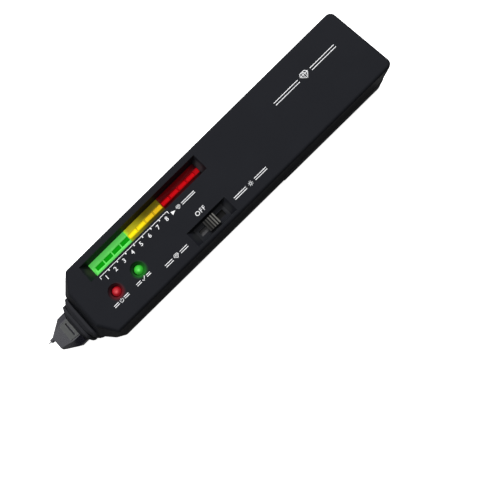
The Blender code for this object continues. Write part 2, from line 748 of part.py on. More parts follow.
def add_front_holes(shape):
    """Add the screw holes, the lead notch and the switch slot of the upper half."""
    for place in BOARD_SCREW_PLACES:
        add_post(shape, place, BOARD_LOW, BOARD_SCREW_TOP + GAP, BOARD_SCREW_RADIUS + GAP,
                 sides=SMALL_ROUND_SIDES)
    for place in CASE_SCREW_PLACES:
        add_post(shape, place, FRONT_SHELL_LOW - OVERRUN, CASE_SCREW_TOP + GAP,
                 CASE_SHANK_RADIUS + GAP, sides=SMALL_ROUND_SIDES)
    add_box(shape, (BULKHEAD_X - OVERRUN, -LEAD_NOTCH_WIDTH / 2, BOARD_TOP),
            (BULKHEAD_REAR_X + OVERRUN, LEAD_NOTCH_WIDTH / 2, BOARD_TOP + LEAD_NOTCH_HEIGHT))
    add_centred_box(shape, (SWITCH_CENTRE_X, SWITCH_Y), (SLOT_LENGTH, STEM_WIDTH + 2 * GAP),
                    POCKET_TRAY_LOW - OVERRUN, POCKET_FLOOR + OVERRUN)


def cut_face_features(shell):
    """Cut the display channel, the switch pocket and the lamp dishes into the face."""
    cut(shell, "display_recess", sloped_pocket(
        (STRIP_MIDDLE_X, DISPLAY_Y),
        (STRIP_LENGTH + 2 * RECESS_RAMP, RECESS_WIDTH),
        (STRIP_LENGTH, STRIP_WIDTH), STRIP_TOP))
    window = bmesh.new()
    add_centred_box(window, (STRIP_MIDDLE_X, DISPLAY_Y), (STRIP_LENGTH, STRIP_WIDTH),
                    TRAY_LOW - OVERRUN, STRIP_TOP + OVERRUN / 2)
    cut(shell, "display_window", window)
    cut(shell, "switch_pocket", sloped_pocket(
        (SWITCH_CENTRE_X, SWITCH_Y),
        (POCKET_LENGTH, POCKET_WIDTH),
        (POCKET_FLOOR_LENGTH, POCKET_FLOOR_WIDTH), POCKET_FLOOR))
    for name, x in LAMP_PLACES.items():
        hole = LAMP_RADIUS + GAP
        slope = (DISH_RADIUS - hole) / DISH_DEPTH
        profile = [
            (0.0, BODY_HEIGHT + OVERRUN),
            (DISH_RADIUS + slope * OVERRUN, BODY_HEIGHT + OVERRUN),
            (hole, BODY_HEIGHT - DISH_DEPTH),
            (hole, DISH_BOSS_LOW - OVERRUN),
            (0.0, DISH_BOSS_LOW - OVERRUN),
        ]
        use_tool(shell, turned_object(name + "_dish", profile, (x, LAMP_Y, 0.0)), "DIFFERENCE")


def front_shell(material):
    """Upper half of the casing, with everything that its face carries."""
    shell = make_piece("front_shell", casing_form(0.0, FRONT_SHELL_LOW, BODY_HEIGHT,
                                                  high_radius=EDGE_RADIUS), material)
    join(shell, "tongue", casing_form(SIDE_WALL - TONGUE_THICKNESS, TONGUE_LOW, FRONT_SHELL_LOW + OVERRUN))
    cut(shell, "front_hollow", casing_form(SIDE_WALL, OVERRUN, CEILING))
    structure = bmesh.new()
    add_face_structure(structure)
    inner = join(shell, "face_structure", structure)
    core = casing_form(SIDE_WALL - CLIP_DEPTH, OVERRUN, BODY_HEIGHT - CLIP_DEPTH)
    use_tool(inner, mesh_object("inner_core", core), "INTERSECT")
    bulkhead = bmesh.new()
    wide = SIDE_Y - SIDE_WALL + CLIP_DEPTH
    add_box(bulkhead, (BULKHEAD_X, -wide, FRONT_SHELL_LOW), (BULKHEAD_REAR_X, wide, CEILING + CLIP_DEPTH))
    join(shell, "front_bulkhead", bulkhead)
    holes = bmesh.new()
    add_front_holes(holes)
    cut(shell, "front_holes", holes)
    cut_face_features(shell)
    cut(shell, "front_nose_opening", nose_opening(FLANGE_X))
    return shell


def rim_relief():
    """Return the cutter that thins the rim under the upper half's tongue."""
    return casing_form(SIDE_WALL - TONGUE_THICKNESS - GAP, TONGUE_LOW - GAP, REAR_SHELL_TOP + OVERRUN)


def rear_shell(material):
    """Lower half of the casing, with sounder holes and screw wells."""
    shell = make_piece("rear_shell", casing_form(0.0, 0.0, REAR_SHELL_TOP, low_radius=EDGE_RADIUS), material)
    cut(shell, "rear_hollow", casing_form(SIDE_WALL, FACE_WALL, REAR_SHELL_TOP + OVERRUN))
    cut(shell, "rear_relief", rim_relief())
    door_side = bmesh.new()
    add_box(door_side, (DOOR_X - GAP / 2, -SHELL_WIDTH, -OVERRUN), (BUTT_X + OVERRUN, SHELL_WIDTH, BODY_HEIGHT))
    cut(shell, "door_side", door_side)
    inner = bmesh.new()
    for place in CASE_SCREW_PLACES:
        add_post(inner, place, FACE_WALL - CLIP_DEPTH, REAR_SHELL_TOP, CASE_BOSS_RADIUS)
    join(shell, "rear_bosses", inner)
    bulkhead = bmesh.new()
    wall_y = SIDE_Y - SIDE_WALL - GAP
    add_box(bulkhead, (BULKHEAD_X, -wall_y, FACE_WALL - CLIP_DEPTH),
            (BULKHEAD_REAR_X, wall_y, REAR_SHELL_TOP - GAP))
    join(shell, "rear_bulkhead", bulkhead)
    holes = bmesh.new()
    for a, b in ((0, 0), (1, 0), (-1, 0), (0, 1), (0, -1)):
        place = (SOUNDER_X + a * SOUND_HOLE_SPACING, b * SOUND_HOLE_SPACING)
        add_post(holes, place, -OVERRUN, FACE_WALL + OVERRUN, SOUND_HOLE_RADIUS, sides=SMALL_ROUND_SIDES)
    cut(shell, "sound_holes", holes)
    for index, place in enumerate(CASE_SCREW_PLACES):
        well_top = CASE_HEAD_DROP + CASE_HEAD_HEIGHT + GAP
        profile = [
            (0.0, BODY_HEIGHT),
            (CASE_SHANK_RADIUS + GAP, BODY_HEIGHT),
            (CASE_SHANK_RADIUS + GAP, well_top),
            (CASE_WELL_RADIUS, well_top),
            (CASE_WELL_RADIUS, -OVERRUN),
            (0.0, -OVERRUN),
        ]
        use_tool(shell, turned_object("screw_well_%d" % index, profile, (*place, 0.0)), "DIFFERENCE")
    cut(shell, "rear_nose_opening", nose_opening(FLANGE_X))
    return shell


def add_door_tab(shape, middle):
    """Add one hook tab that steps up from the door's floor and reaches over the casing's."""
    low = FACE_WALL + GAP
    top = low + DOOR_TAB_THICKNESS
    root = DOOR_X + GAP
    outline = [
        (DOOR_X - DOOR_TAB_REACH, low),
        (root, low),
        (root, FACE_WALL - CLIP_DEPTH),
        (root + DOOR_TAB_ROOT, FACE_WALL - CLIP_DEPTH),
        (root + DOOR_TAB_ROOT, top),
        (DOOR_X - DOOR_TAB_REACH, top),
    ]
    half = DOOR_TAB_WIDTH / 2
    add_loft(shape, [[(x, y, z) for x, z in outline] for y in (middle - half, middle + half)])


def battery_door(material):
    """Sliding cover of the battery bay, with grip grooves and two hook tabs."""
    form = casing_form(-DOOR_PROUD, 0.0, REAR_SHELL_TOP, low_radius=EDGE_RADIUS)
    door = make_piece("battery_door", form, material, origin=(DOOR_X, 0.0, 0.0))
    cut(door, "door_hollow", casing_form(SIDE_WALL, FACE_WALL, REAR_SHELL_TOP + OVERRUN))
    cut(door, "door_relief", rim_relief())
    front_side = bmesh.new()
    add_box(front_side, (TIP_X, -BODY_WIDTH, -OVERRUN), (DOOR_X + GAP / 2, BODY_WIDTH, BODY_HEIGHT))
    cut(door, "front_side", front_side)
    tabs = bmesh.new()
    for side in (-1, 1):
        add_door_tab(tabs, side * DOOR_TAB_SPREAD / 2)
    join(door, "door_tabs", tabs)
    grooves = bmesh.new()
    for index in range(GROOVE_COUNT):
        length = blend(GROOVE_LONGEST, GROOVE_SHORTEST, index / (GROOVE_COUNT - 1))
        place = (DOOR_X + GROOVE_START + index * GROOVE_PITCH, 0.0)
        add_centred_box(grooves, place, (GROOVE_WIDTH, length), -OVERRUN, GROOVE_DEPTH)
    cut(door, "door_grooves", grooves)
    return door


def screw(name, place, head, shank, material):
    """Make one upright screw from the radius, low end and top of its head and of its shank."""
    head_radius, head_low, head_top = head
    shank_radius, shank_top = shank
    edge = (head_top - head_low) / 4
    profile = [
        (0.0, shank_top),
        (shank_radius / 2, shank_top),
        (shank_radius, shank_top - shank_radius),
        (shank_radius, head_top),
        (head_radius, head_top),
        (head_radius, head_low + edge),
        (head_radius - edge, head_low),
        (0.0, head_low),
    ]
    piece = as_piece(turned_object(name, profile, (*place, 0.0), sides=SMALL_ROUND_SIDES), material)
    cross = bmesh.new()
    long, short = CROSS_LENGTH / 2, CROSS_WIDTH / 2
    outline = []
    for turn in range(4):
        spin = Matrix.Rotation(turn * math.pi / 2, 2)
        outline += [spin @ Vector(point) for point in ((long, -short), (long, short), (short, short))]
    add_loft(cross, [
        [(place[0] + point.x, place[1] + point.y, level) for point in outline]
        for level in (head_low - OVERRUN, head_low + CROSS_DEPTH)
    ])
    cut(piece, name + "_cross", cross)
    return piece


# Bar display

def bar_ends(index):
    """Return the two ends along X of one coloured bar."""
    start = DISPLAY_START_X + index * BAR_LENGTH + SNUG_GAP / 2
    end = DISPLAY_START_X + (index + 1) * BAR_LENGTH - SNUG_GAP / 2
    if index == 0:
        start = STRIP_FRONT_X + SNUG_GAP
    if index == BAR_COUNT - 1:
        end = STRIP_REAR_X - SNUG_GAP
    return start, end


def segment_centres(index):
    """Return the places along X of the segments in one coloured bar."""
    first = DISPLAY_START_X + index * BAR_LENGTH + SEGMENT_PITCH / 2
    return [first + step * SEGMENT_PITCH for step in range(SEGMENTS_PER_BAR)]


def display_bar(index, name, material):
    """Coloured bar of the display: a flanged strip with a pocket for each segment."""
    flange_top = TRAY_LOW - GAP
    flange_low = flange_top - BAR_FLANGE_THICKNESS
    side = STRIP_WIDTH / 2 - SNUG_GAP
    wide = side + BAR_FLANGE
    outline = [
        (-wide, flange_low), (wide, flange_low), (wide, flange_top), (side, flange_top),
        (side, STRIP_TOP), (-side, STRIP_TOP), (-side, flange_top), (-wide, flange_top),
    ]
    form = bmesh.new()
    add_loft(form, [[(x, DISPLAY_Y + y, z) for y, z in outline] for x in bar_ends(index)])
    bar = make_piece("bar_" + name, form, material)
    pockets = bmesh.new()
    size = (SEGMENT_LENGTH + 2 * SNUG_GAP, SEGMENT_WIDTH + 2 * SNUG_GAP)
    for x in segment_centres(index):
        add_centred_box(pockets, (x, SEGMENT_Y), size, SEGMENT_LOW - SNUG_GAP, STRIP_TOP + OVERRUN)
    cut(bar, name + "_pockets", pockets)
    return bar


def display_segments(index, name, material):
    """Four light windows, each seated in its pocket in a coloured bar."""
    centres = segment_centres(index)
    form = bmesh.new()
    add_centred_box(form, (centres[0], SEGMENT_Y), (SEGMENT_LENGTH, SEGMENT_WIDTH),
                    SEGMENT_LOW, SEGMENT_LOW + SEGMENT_HEIGHT)
    first = make_piece("segment_%s_1" % name, form, material)
    for step in range(1, SEGMENTS_PER_BAR):
        copy_piece(first, "segment_%s_%d" % (name, step + 1), (step * SEGMENT_PITCH, 0.0, 0.0))


def display_leds(material):
    """Strip of twelve small emitters on the board, one under each window."""
    low = BOARD_TOP + GAP
    form = bmesh.new()
    add_centred_box(form, (STRIP_MIDDLE_X, DISPLAY_Y), (STRIP_LENGTH, EMITTER_BASE_WIDTH),
                    low, low + EMITTER_BASE_HEIGHT)
    strip = make_piece("display_leds", form, material)
    emitters = bmesh.new()
    for bar in range(BAR_COUNT):
        for x in segment_centres(bar):
            add_centred_box(emitters, (x, SEGMENT_Y), (EMITTER_LENGTH, EMITTER_WIDTH),
                            low + EMITTER_BASE_HEIGHT / 2, low + EMITTER_BASE_HEIGHT + EMITTER_HEIGHT)
    join(strip, "emitters", emitters)
    return strip


# Lamps

def dome_profile(radius, top):
    """Return the profile points of a half-round lens, from its pole to its rim."""
    angles = [math.pi / 2 * step / DOME_STEPS for step in range(DOME_STEPS + 1)]
    points = [(radius * math.sin(angle), top - radius * (1 - math.cos(angle))) for angle in angles]
    return [(0.0, top)] + points[1:]


def face_lamp(name, x, material):
    """Round lamp with a domed top, a flange and a spacer that stands on the board."""
    low = BOARD_TOP + GAP
    flange_low = low + LAMP_SPACER_HEIGHT
    flange_top = flange_low + LAMP_FLANGE_THICKNESS
    profile = dome_profile(LAMP_RADIUS, BODY_HEIGHT - LAMP_TOP_DROP) + [
        (LAMP_RADIUS, flange_top),
        (LAMP_FLANGE_RADIUS, flange_top),
        (LAMP_FLANGE_RADIUS, flange_low),
        (LAMP_SPACER_RADIUS, flange_low),
        (LAMP_SPACER_RADIUS, low),
        (0.0, low),
    ]
    return as_piece(turned_object(name, profile, (x, LAMP_Y, 0.0)), material)


def uv_lamp(material):
    """Small violet lamp that looks out of the flat front of the nose."""
    rear = -UV_LENGTH
    profile = dome_profile(UV_RADIUS, 0.0) + [
        (UV_RADIUS, rear + UV_FLANGE_LENGTH),
        (UV_FLANGE_RADIUS, rear + UV_FLANGE_LENGTH),
        (UV_FLANGE_RADIUS, rear),
        (0.0, rear),
    ]
    lamp = turned_object("uv_lamp", profile, (NOSE_X + UV_DROP, UV_Y, AXIS_Z), sides=SMALL_ROUND_SIDES)
    lamp.rotation_euler.y = -math.pi / 2
    return as_piece(lamp, material)


# Slide switch

def switch_knob(material):
    """Ribbed slide knob with its stem and the shutter that keeps the slot closed."""
    centre = (SWITCH_CENTRE_X, SWITCH_Y)
    top = BODY_HEIGHT - KNOB_TOP_DROP
    form = bmesh.new()
    add_centred_box(form, centre, (KNOB_LENGTH, KNOB_WIDTH), POCKET_FLOOR + GAP, top)
    knob = make_piece("switch_knob", form, material, origin=(*centre, POCKET_FLOOR))
    stem = bmesh.new()
    add_centred_box(stem, centre, (STEM_LENGTH, STEM_WIDTH), SWITCH_BODY_TOP - STEM_ENTRY, POCKET_FLOOR + 2 * GAP)
    join(knob, "knob_stem", stem)
    shutter = bmesh.new()
    shutter_top = POCKET_TRAY_LOW - SHUTTER_DROP
    shutter_length = SLOT_LENGTH + 2 * (SWITCH_STEP + GAP)
    add_centred_box(shutter, centre, (shutter_length, SHUTTER_WIDTH), shutter_top - SHUTTER_THICKNESS, shutter_top)
    join(knob, "knob_shutter", shutter)
    grooves = bmesh.new()
    pitch = (KNOB_LENGTH - KNOB_RIB_WIDTH) / (KNOB_RIB_COUNT - 1)
    first = SWITCH_CENTRE_X + (pitch - KNOB_LENGTH + KNOB_RIB_WIDTH) / 2
    for index in range(KNOB_RIB_COUNT - 1):
        add_centred_box(grooves, (first + index * pitch, SWITCH_Y), (pitch - KNOB_RIB_WIDTH, 2 * KNOB_WIDTH),
                        top - KNOB_GROOVE_DEPTH, top + OVERRUN)
    cut(knob, "knob_grooves", grooves)
    return knob


def switch_body(material):
    """Housing of the slide switch on the board, open on top for the knob's stem."""
    centre = (SWITCH_CENTRE_X, SWITCH_Y)
    form = bmesh.new()
    add_centred_box(form, centre, (SLOT_LENGTH + 2 * SWITCH_BODY_END, SWITCH_BODY_WIDTH),
                    SWITCH_BODY_LOW, SWITCH_BODY_TOP)
    body = make_piece("switch_body", form, material)
    slot = bmesh.new()
    add_centred_box(slot, centre, (SLOT_LENGTH, STEM_WIDTH + 2 * GAP),
                    SWITCH_BODY_TOP - SWITCH_SLOT_DEPTH, SWITCH_BODY_TOP + OVERRUN)
    cut(body, "switch_body_slot", slot)
    return body


# Board

def main_board(material):
    """Circuit board under the face, with its screw holes and the cut-out for the rear boss."""
    half = SIDE_Y - SIDE_WALL - GAP
    form = bmesh.new()
    add_box(form, (BOARD_FRONT_X, -half, BOARD_LOW), (BOARD_REAR_X, half, BOARD_TOP))
    board = make_piece("main_board", form, material)
    holes = bmesh.new()
    for place in BOARD_SCREW_PLACES:
        add_post(holes, place, BOARD_LOW - OVERRUN, BOARD_TOP + OVERRUN, BOARD_SCREW_RADIUS + GAP,
                 sides=SMALL_ROUND_SIDES)
    x, y = CASE_SCREW_PLACES[1]
    clear = CASE_BOSS_RADIUS + GAP
    add_box(holes, (x - clear, -half - OVERRUN, BOARD_LOW - OVERRUN),
            (BOARD_REAR_X + OVERRUN, y + clear, BOARD_TOP + OVERRUN))
    cut(board, "board_holes", holes)
    return board


def control_chip(material):
    """Main chip on the underside of the board, with a row of pins on each side."""
    top = BOARD_LOW - GAP
    form = bmesh.new()
    add_centred_box(form, (CHIP_X, 0.0), (CHIP_LENGTH, CHIP_WIDTH), top - CHIP_HEIGHT, top)
    chip = make_piece("control_chip", form, material)
    pins = bmesh.new()
    pitch = CHIP_LENGTH / CHIP_PIN_COUNT
    for index in range(CHIP_PIN_COUNT):
        place = (CHIP_X + (2 * index + 1 - CHIP_PIN_COUNT) * pitch / 2, 0.0)
        add_centred_box(pins, place, (CHIP_PIN_WIDTH, CHIP_WIDTH + 2 * CHIP_PIN_REACH),
                        top - CHIP_PIN_DROP - CHIP_PIN_THICKNESS, top - CHIP_PIN_DROP)
    join(chip, "chip_pins", pins)
    return chip


def board_capacitor(name, place, material):
    """Round capacitor that hangs from the board, with a crimp under its rim."""
    top = BOARD_LOW - GAP
    low = FACE_WALL + CAPACITOR_FLOOR_GAP
    crimp = top - CAPACITOR_CRIMP_DROP
    profile = [
        (0.0, top),
        (CAPACITOR_RADIUS, top),
        (CAPACITOR_RADIUS, crimp + CAPACITOR_CRIMP),
        (CAPACITOR_RADIUS - CAPACITOR_CRIMP, crimp),
        (CAPACITOR_RADIUS, crimp - CAPACITOR_CRIMP),
        (CAPACITOR_RADIUS, low + CAPACITOR_CRIMP),
        (CAPACITOR_RADIUS - CAPACITOR_CRIMP, low),
        (0.0, low),
    ]
    return as_piece(turned_object(name, profile, (*place, 0.0), sides=SMALL_ROUND_SIDES), material)


def sounder(material):
    """Round sounder under the board, with its mouth towards the holes in the back."""
    top = BOARD_LOW - GAP
    low = FACE_WALL + GAP
    profile = [
        (0.0, top),
        (SOUNDER_RADIUS - SOUNDER_RIM, top),
        (SOUNDER_RADIUS, top - SOUNDER_RIM),
        (SOUNDER_RADIUS, low + SOUNDER_RIM),
        (SOUNDER_RADIUS - SOUNDER_RIM, low),
        (SOUNDER_MOUTH_RADIUS, low),
        (SOUNDER_MOUTH_RADIUS, low + SOUNDER_MOUTH_DEPTH),
        (0.0, low + SOUNDER_MOUTH_DEPTH),
    ]
    return as_piece(turned_object("sounder", profile, (SOUNDER_X, 0.0, 0.0)), material)


# Nose and probe

def cut_bore(piece, name, y, front_radius, step_x, rear_radius, ends):
    """Cut a stepped round bore along X out of a piece of the nose."""
    front, rear = ends
    profile = [
        (0.0, rear),
        (rear_radius, rear),
        (rear_radius, step_x),
        (front_radius, step_x),
        (front_radius, front),
        (0.0, front),
    ]
    tool = turned_object(name, profile, (0.0, y, AXIS_Z), along=True, sides=SMALL_ROUND_SIDES)
    use_tool(piece, tool, "DIFFERENCE")


def plate_form(front, rear, margin, low, high):
    """Return a flat form that follows the nose plate's tapering sides at a margin."""
    outline = []
    for x, side in ((front, -1), (rear, -1), (rear, 1), (front, 1)):
        half = blend(PLATE_FRONT_WIDTH, PLATE_WIDTH, (x - PLATE_X) / PLATE_LENGTH) / 2
        outline.append((x, side * (half + margin)))
    form = bmesh.new()
    add_loft(form, [[(x, y, level) for x, y in outline] for level in (low, high)])
    return form


def nose_shroud(material):
    """Tapered nose with its beak, the tenon through the collar and the flange behind the wall."""
    rear = COLLAR_X - GAP
    form = bmesh.new()
    full = (NOSE_WIDTH, NOSE_HEIGHT, NOSE_TOP_WIDTH, NOSE_HEIGHT * NOSE_SIDE_HEIGHT_SHARE)
    front_height = NOSE_HEIGHT * NOSE_FRONT_HEIGHT_SHARE
    front_side_height = front_height * NOSE_FRONT_SIDE_HEIGHT_SHARE
    add_loft(form, [
        nose_section(NOSE_X, NOSE_FRONT_WIDTH, front_height, NOSE_FRONT_TOP_WIDTH, front_side_height),
        nose_section(NOSE_FULL_X, *full),
        nose_section(rear, *full),
    ])
    nose = make_piece("nose_shroud", form, material)
    tenon = bmesh.new()
    add_box(tenon, (rear - OVERRUN, -TENON_WIDTH / 2, AXIS_Z - TENON_HEIGHT / 2),
            (FLANGE_X + FLANGE_THICKNESS / 2, TENON_WIDTH / 2, AXIS_Z + TENON_HEIGHT / 2), TENON_RADIUS)
    join(nose, "tenon", tenon)
    flange = bmesh.new()
    add_box(flange, (FLANGE_X, -FLANGE_WIDTH / 2, AXIS_Z - NOSE_HEIGHT / 2),
            (FLANGE_REAR_X, FLANGE_WIDTH / 2, AXIS_Z + NOSE_HEIGHT / 2), TENON_RADIUS)
    join(nose, "nose_flange", flange)
    profile = [
        (0.0, NOSE_X + OVERRUN),
        (BEAK_ROOT_RADIUS, NOSE_X + OVERRUN),
        (BEAK_ROOT_RADIUS, NOSE_X),
        (BEAK_TIP_RADIUS, BEAK_X),
        (0.0, BEAK_X),
    ]
    beak = turned_object("beak", profile, (0.0, PROBE_Y, AXIS_Z), along=True, sides=SMALL_ROUND_SIDES)
    use_tool(nose, beak, "UNION")
    cut_bore(nose, "probe_bore", PROBE_Y, NEEDLE_RADIUS + GAP, BARREL_X - GAP, BARREL_RADIUS + GAP,
             (BEAK_X - OVERRUN, FLANGE_REAR_X + OVERRUN))
    cut_bore(nose, "lamp_bore", UV_Y, UV_RADIUS + GAP, UV_FLANGE_X - GAP, UV_FLANGE_RADIUS + GAP,
             (NOSE_X - OVERRUN, FLANGE_REAR_X + OVERRUN))
    seat = plate_form(PLATE_X - SNUG_GAP, COLLAR_X, SNUG_GAP, PLATE_LOW - SNUG_GAP, PLATE_TOP + OVERRUN)
    cut(nose, "plate_seat", seat)
    return nose


def nose_plate(material):
    """Thin raised plate with a slot, let into the top of the nose."""
    plate = make_piece("nose_plate", plate_form(PLATE_X, PLATE_REAR_X, 0.0, PLATE_LOW, PLATE_TOP), material)
    slot = bmesh.new()
    place = (PLATE_REAR_X - PLATE_SLOT_SETBACK, 0.0)
    add_centred_box(slot, place, (PLATE_SLOT_WIDTH, PLATE_SLOT_LENGTH), PLATE_LOW - OVERRUN, PLATE_TOP + OVERRUN)
    cut(plate, "plate_slot", slot)
    return plate


def nose_collar(material):
    """Black collar of two barbed rings between the nose and the casing."""
    groove_x = RING_2_X - RING_GROOVE_LENGTH / 2
    groove_rear_x = RING_2_X + RING_GROOVE_LENGTH / 2
    rear = FRONT_X - GAP
    neck = (RING_1_WIDTH - 2 * RING_GROOVE_DEPTH, RING_1_HEIGHT - 2 * RING_GROOVE_DEPTH)
    stations = (
        (COLLAR_X, NOSE_WIDTH + 2 * COLLAR_FRONT_LIP, NOSE_HEIGHT + 2 * COLLAR_FRONT_LIP),
        (groove_x - RING_BAND_LENGTH, RING_1_WIDTH, RING_1_HEIGHT),
        (groove_x, RING_1_WIDTH, RING_1_HEIGHT),
        (groove_x, *neck),
        (groove_rear_x, *neck),
        (groove_rear_x, RING_1_WIDTH, RING_1_HEIGHT),
        (rear - RING_BAND_LENGTH, RING_2_WIDTH, RING_2_HEIGHT),
        (rear, RING_2_WIDTH, RING_2_HEIGHT),
    )
    form = bmesh.new()
    add_loft(form, [rounded_section(*station, COLLAR_CORNER_RADIUS) for station in stations])
    collar = make_piece("nose_collar", form, material)
    cut(collar, "collar_opening", nose_opening(FRONT_X))
    return collar


def probe_needle(material):
    """Needle with the plunger that carries it, which sinks into the barrel."""
    plunger_radius = BARREL_RADIUS - BARREL_WALL - GAP
    front = PLUNGER_X - TIP_X
    rear = front + PLUNGER_LENGTH
    profile = [
        (0.0, rear),
        (plunger_radius, rear),
        (plunger_radius, front),
        (NEEDLE_RADIUS, front),
        (NEEDLE_RADIUS, NEEDLE_POINT_LENGTH),
        (NEEDLE_POINT_RADIUS, 0.0),
        (0.0, 0.0),
    ]
    needle = turned_object("probe_needle", profile, (TIP_X, PROBE_Y, AXIS_Z), along=True, sides=SMALL_ROUND_SIDES)
    return as_piece(needle, material)


def probe_barrel(material):
    """Brass tube in the nose that guides the plunger."""
    length = PLUG_REAR_X - PLUG_CAP_LENGTH - GAP - BARREL_X
    profile = [(0.0, length), (BARREL_RADIUS, length), (BARREL_RADIUS, 0.0), (0.0, 0.0)]
    place = (BARREL_X, PROBE_Y, AXIS_Z)
    barrel = as_piece(turned_object("probe_barrel", profile, place, along=True, sides=SMALL_ROUND_SIDES), material)
    cut_bore(barrel, "barrel_bore", PROBE_Y, NEEDLE_RADIUS + GAP, BARREL_X + BARREL_END_WALL,
             BARREL_RADIUS - BARREL_WALL, (BARREL_X - OVERRUN, PLUG_REAR_X + OVERRUN))
    return barrel


def probe_spring(material):
    """Coil spring between the plunger and the plug."""
    count = SPRING_TURNS * SPRING_POINTS_PER_TURN
    run = SPRING_LENGTH - 2 * SPRING_WIRE_RADIUS
    route = []
    for step in range(count + 1):
        angle = 2 * math.pi * step / SPRING_POINTS_PER_TURN
        x = SPRING_X + SPRING_WIRE_RADIUS + run * step / count
        y = PROBE_Y + SPRING_RADIUS * math.cos(angle)
        z = AXIS_Z + SPRING_RADIUS * math.sin(angle)
        route.append((x, y, z))
    least = run / SPRING_TURNS - 2 * SPRING_WIRE_RADIUS
    print("least gap between spring turns: %.2f mm" % (least / MILLIMETRE))
    return wire_piece("probe_spring", route, SPRING_WIRE_RADIUS, material)


def probe_plug(material):
    """Plug with a small cap that closes the rear of the barrel."""
    stem_radius = BARREL_RADIUS - BARREL_WALL - SNUG_GAP
    cap_x = PLUG_LENGTH - PLUG_CAP_LENGTH
    profile = [
        (0.0, PLUG_LENGTH),
        (BARREL_RADIUS, PLUG_LENGTH),
        (BARREL_RADIUS, cap_x),
        (stem_radius, cap_x),
        (stem_radius, 0.0),
        (0.0, 0.0),
    ]
    plug = turned_object("probe_plug", profile, (PLUG_X, PROBE_Y, AXIS_Z), along=True, sides=SMALL_ROUND_SIDES)
    return as_piece(plug, material)


def nose_lead(name, start_x, y, material):
    """Fine wire from a piece in the nose to the front end of the board."""
    level = BOARD_TOP + GAP + FINE_LEAD_RADIUS
    route = smooth_route([
        (start_x + GAP, y, AXIS_Z),
        (FLANGE_REAR_X + NOSE_LEAD_BEND, y, AXIS_Z + FINE_LEAD_RADIUS),
        (BOARD_FRONT_X, y, level),
        (BOARD_FRONT_X + LEAD_BOARD_REACH, y, level),
    ], NOSE_LEAD_STEPS)
    return wire_piece(name, route, FINE_LEAD_RADIUS, material)


# Battery

def battery(material):
    """Nine volt block battery with rounded long edges."""
    form = bmesh.new()
    add_box(form, (BATTERY_FRONT_X, -BATTERY_WIDTH / 2, BATTERY_LOW),
            (BATTERY_REAR_X, BATTERY_WIDTH / 2, BATTERY_LOW + BATTERY_HEIGHT), BATTERY_RADIUS)
    return make_piece("battery", form, material)


def battery_contact(name, side, radius, sides, material):
    """Snap stud on the end of the battery."""
    rear = BATTERY_FRONT_X - GAP
    form = bmesh.new()
    add_stud(form, side * CONTACT_Y, BATTERY_MID_Z, rear - CONTACT_LENGTH, rear, radius, sides)
    return make_piece(name, form, material)


def battery_snap(material):
    """Snap connector that holds the studs of the battery."""
    form = bmesh.new()
    add_box(form, (SNAP_FRONT_X, -SNAP_WIDTH / 2, BATTERY_MID_Z - SNAP_HEIGHT / 2),
            (SNAP_REAR_X, SNAP_WIDTH / 2, BATTERY_MID_Z + SNAP_HEIGHT / 2), SNAP_RADIUS)
    snap = make_piece("battery_snap", form, material)
    pockets = bmesh.new()
    for side in (-1, 1):
        add_stud(pockets, side * CONTACT_Y, BATTERY_MID_Z, SNAP_REAR_X - CONTACT_LENGTH - GAP,
                 SNAP_REAR_X + OVERRUN, CONTACT_HEX_RADIUS + GAP)
    cut(snap, "snap_pockets", pockets)
    return snap


def battery_lead(name, side, material):
    """Wire from the snap connector, through the bulkhead's notch, to the board."""
    y = side * BATTERY_LEAD_SPREAD / 2
    board_z = BOARD_TOP + GAP + LEAD_RADIUS
    start_x = SNAP_FRONT_X - GAP
    route = smooth_route([
        (start_x, y, BATTERY_MID_Z),
        (start_x - BATTERY_LEAD_BEND, y, blend(BATTERY_MID_Z, board_z, BATTERY_LEAD_RISE_SHARE)),
        (BULKHEAD_REAR_X, y, board_z + LEAD_RADIUS),
        (BULKHEAD_X, y, board_z + LEAD_RADIUS),
        (BOARD_REAR_X - LEAD_BOARD_REACH, y, board_z),
    ], BATTERY_LEAD_STEPS)
    return wire_piece(name, route, LEAD_RADIUS, material)


def battery_pad(material):
    """Foam pad between the end of the battery and the butt wall."""
    form = bmesh.new()
    front = BATTERY_REAR_X + GAP
    low = FRONT_SHELL_LOW + GAP
    top = CEILING - PAD_HEADROOM
    add_box(form, (front, -PAD_WIDTH / 2, low), (front + PAD_THICKNESS, PAD_WIDTH / 2, top))
    return make_piece("battery_pad", form, material)


# The whole tester

def build_casing():
    """Build the two halves, the door and the screws that close the casing."""
    front_shell(finish("charcoal_plastic", (0.020, 0.021, 0.024), 0.55))
    rear_shell(finish("back_plastic", (0.012, 0.012, 0.015), 0.55))
    battery_door(finish("door_plastic", (0.012, 0.012, 0.015), 0.55))
    steel = finish("case_screw_steel", (0.60, 0.60, 0.58), 0.30, 1.0)
    head = (CASE_HEAD_RADIUS, CASE_HEAD_DROP, CASE_HEAD_DROP + CASE_HEAD_HEIGHT)
    for name, place in zip(("case_screw_front", "case_screw_rear"), CASE_SCREW_PLACES):
        screw(name, place, head, (CASE_SHANK_RADIUS, CASE_SCREW_TOP), steel)


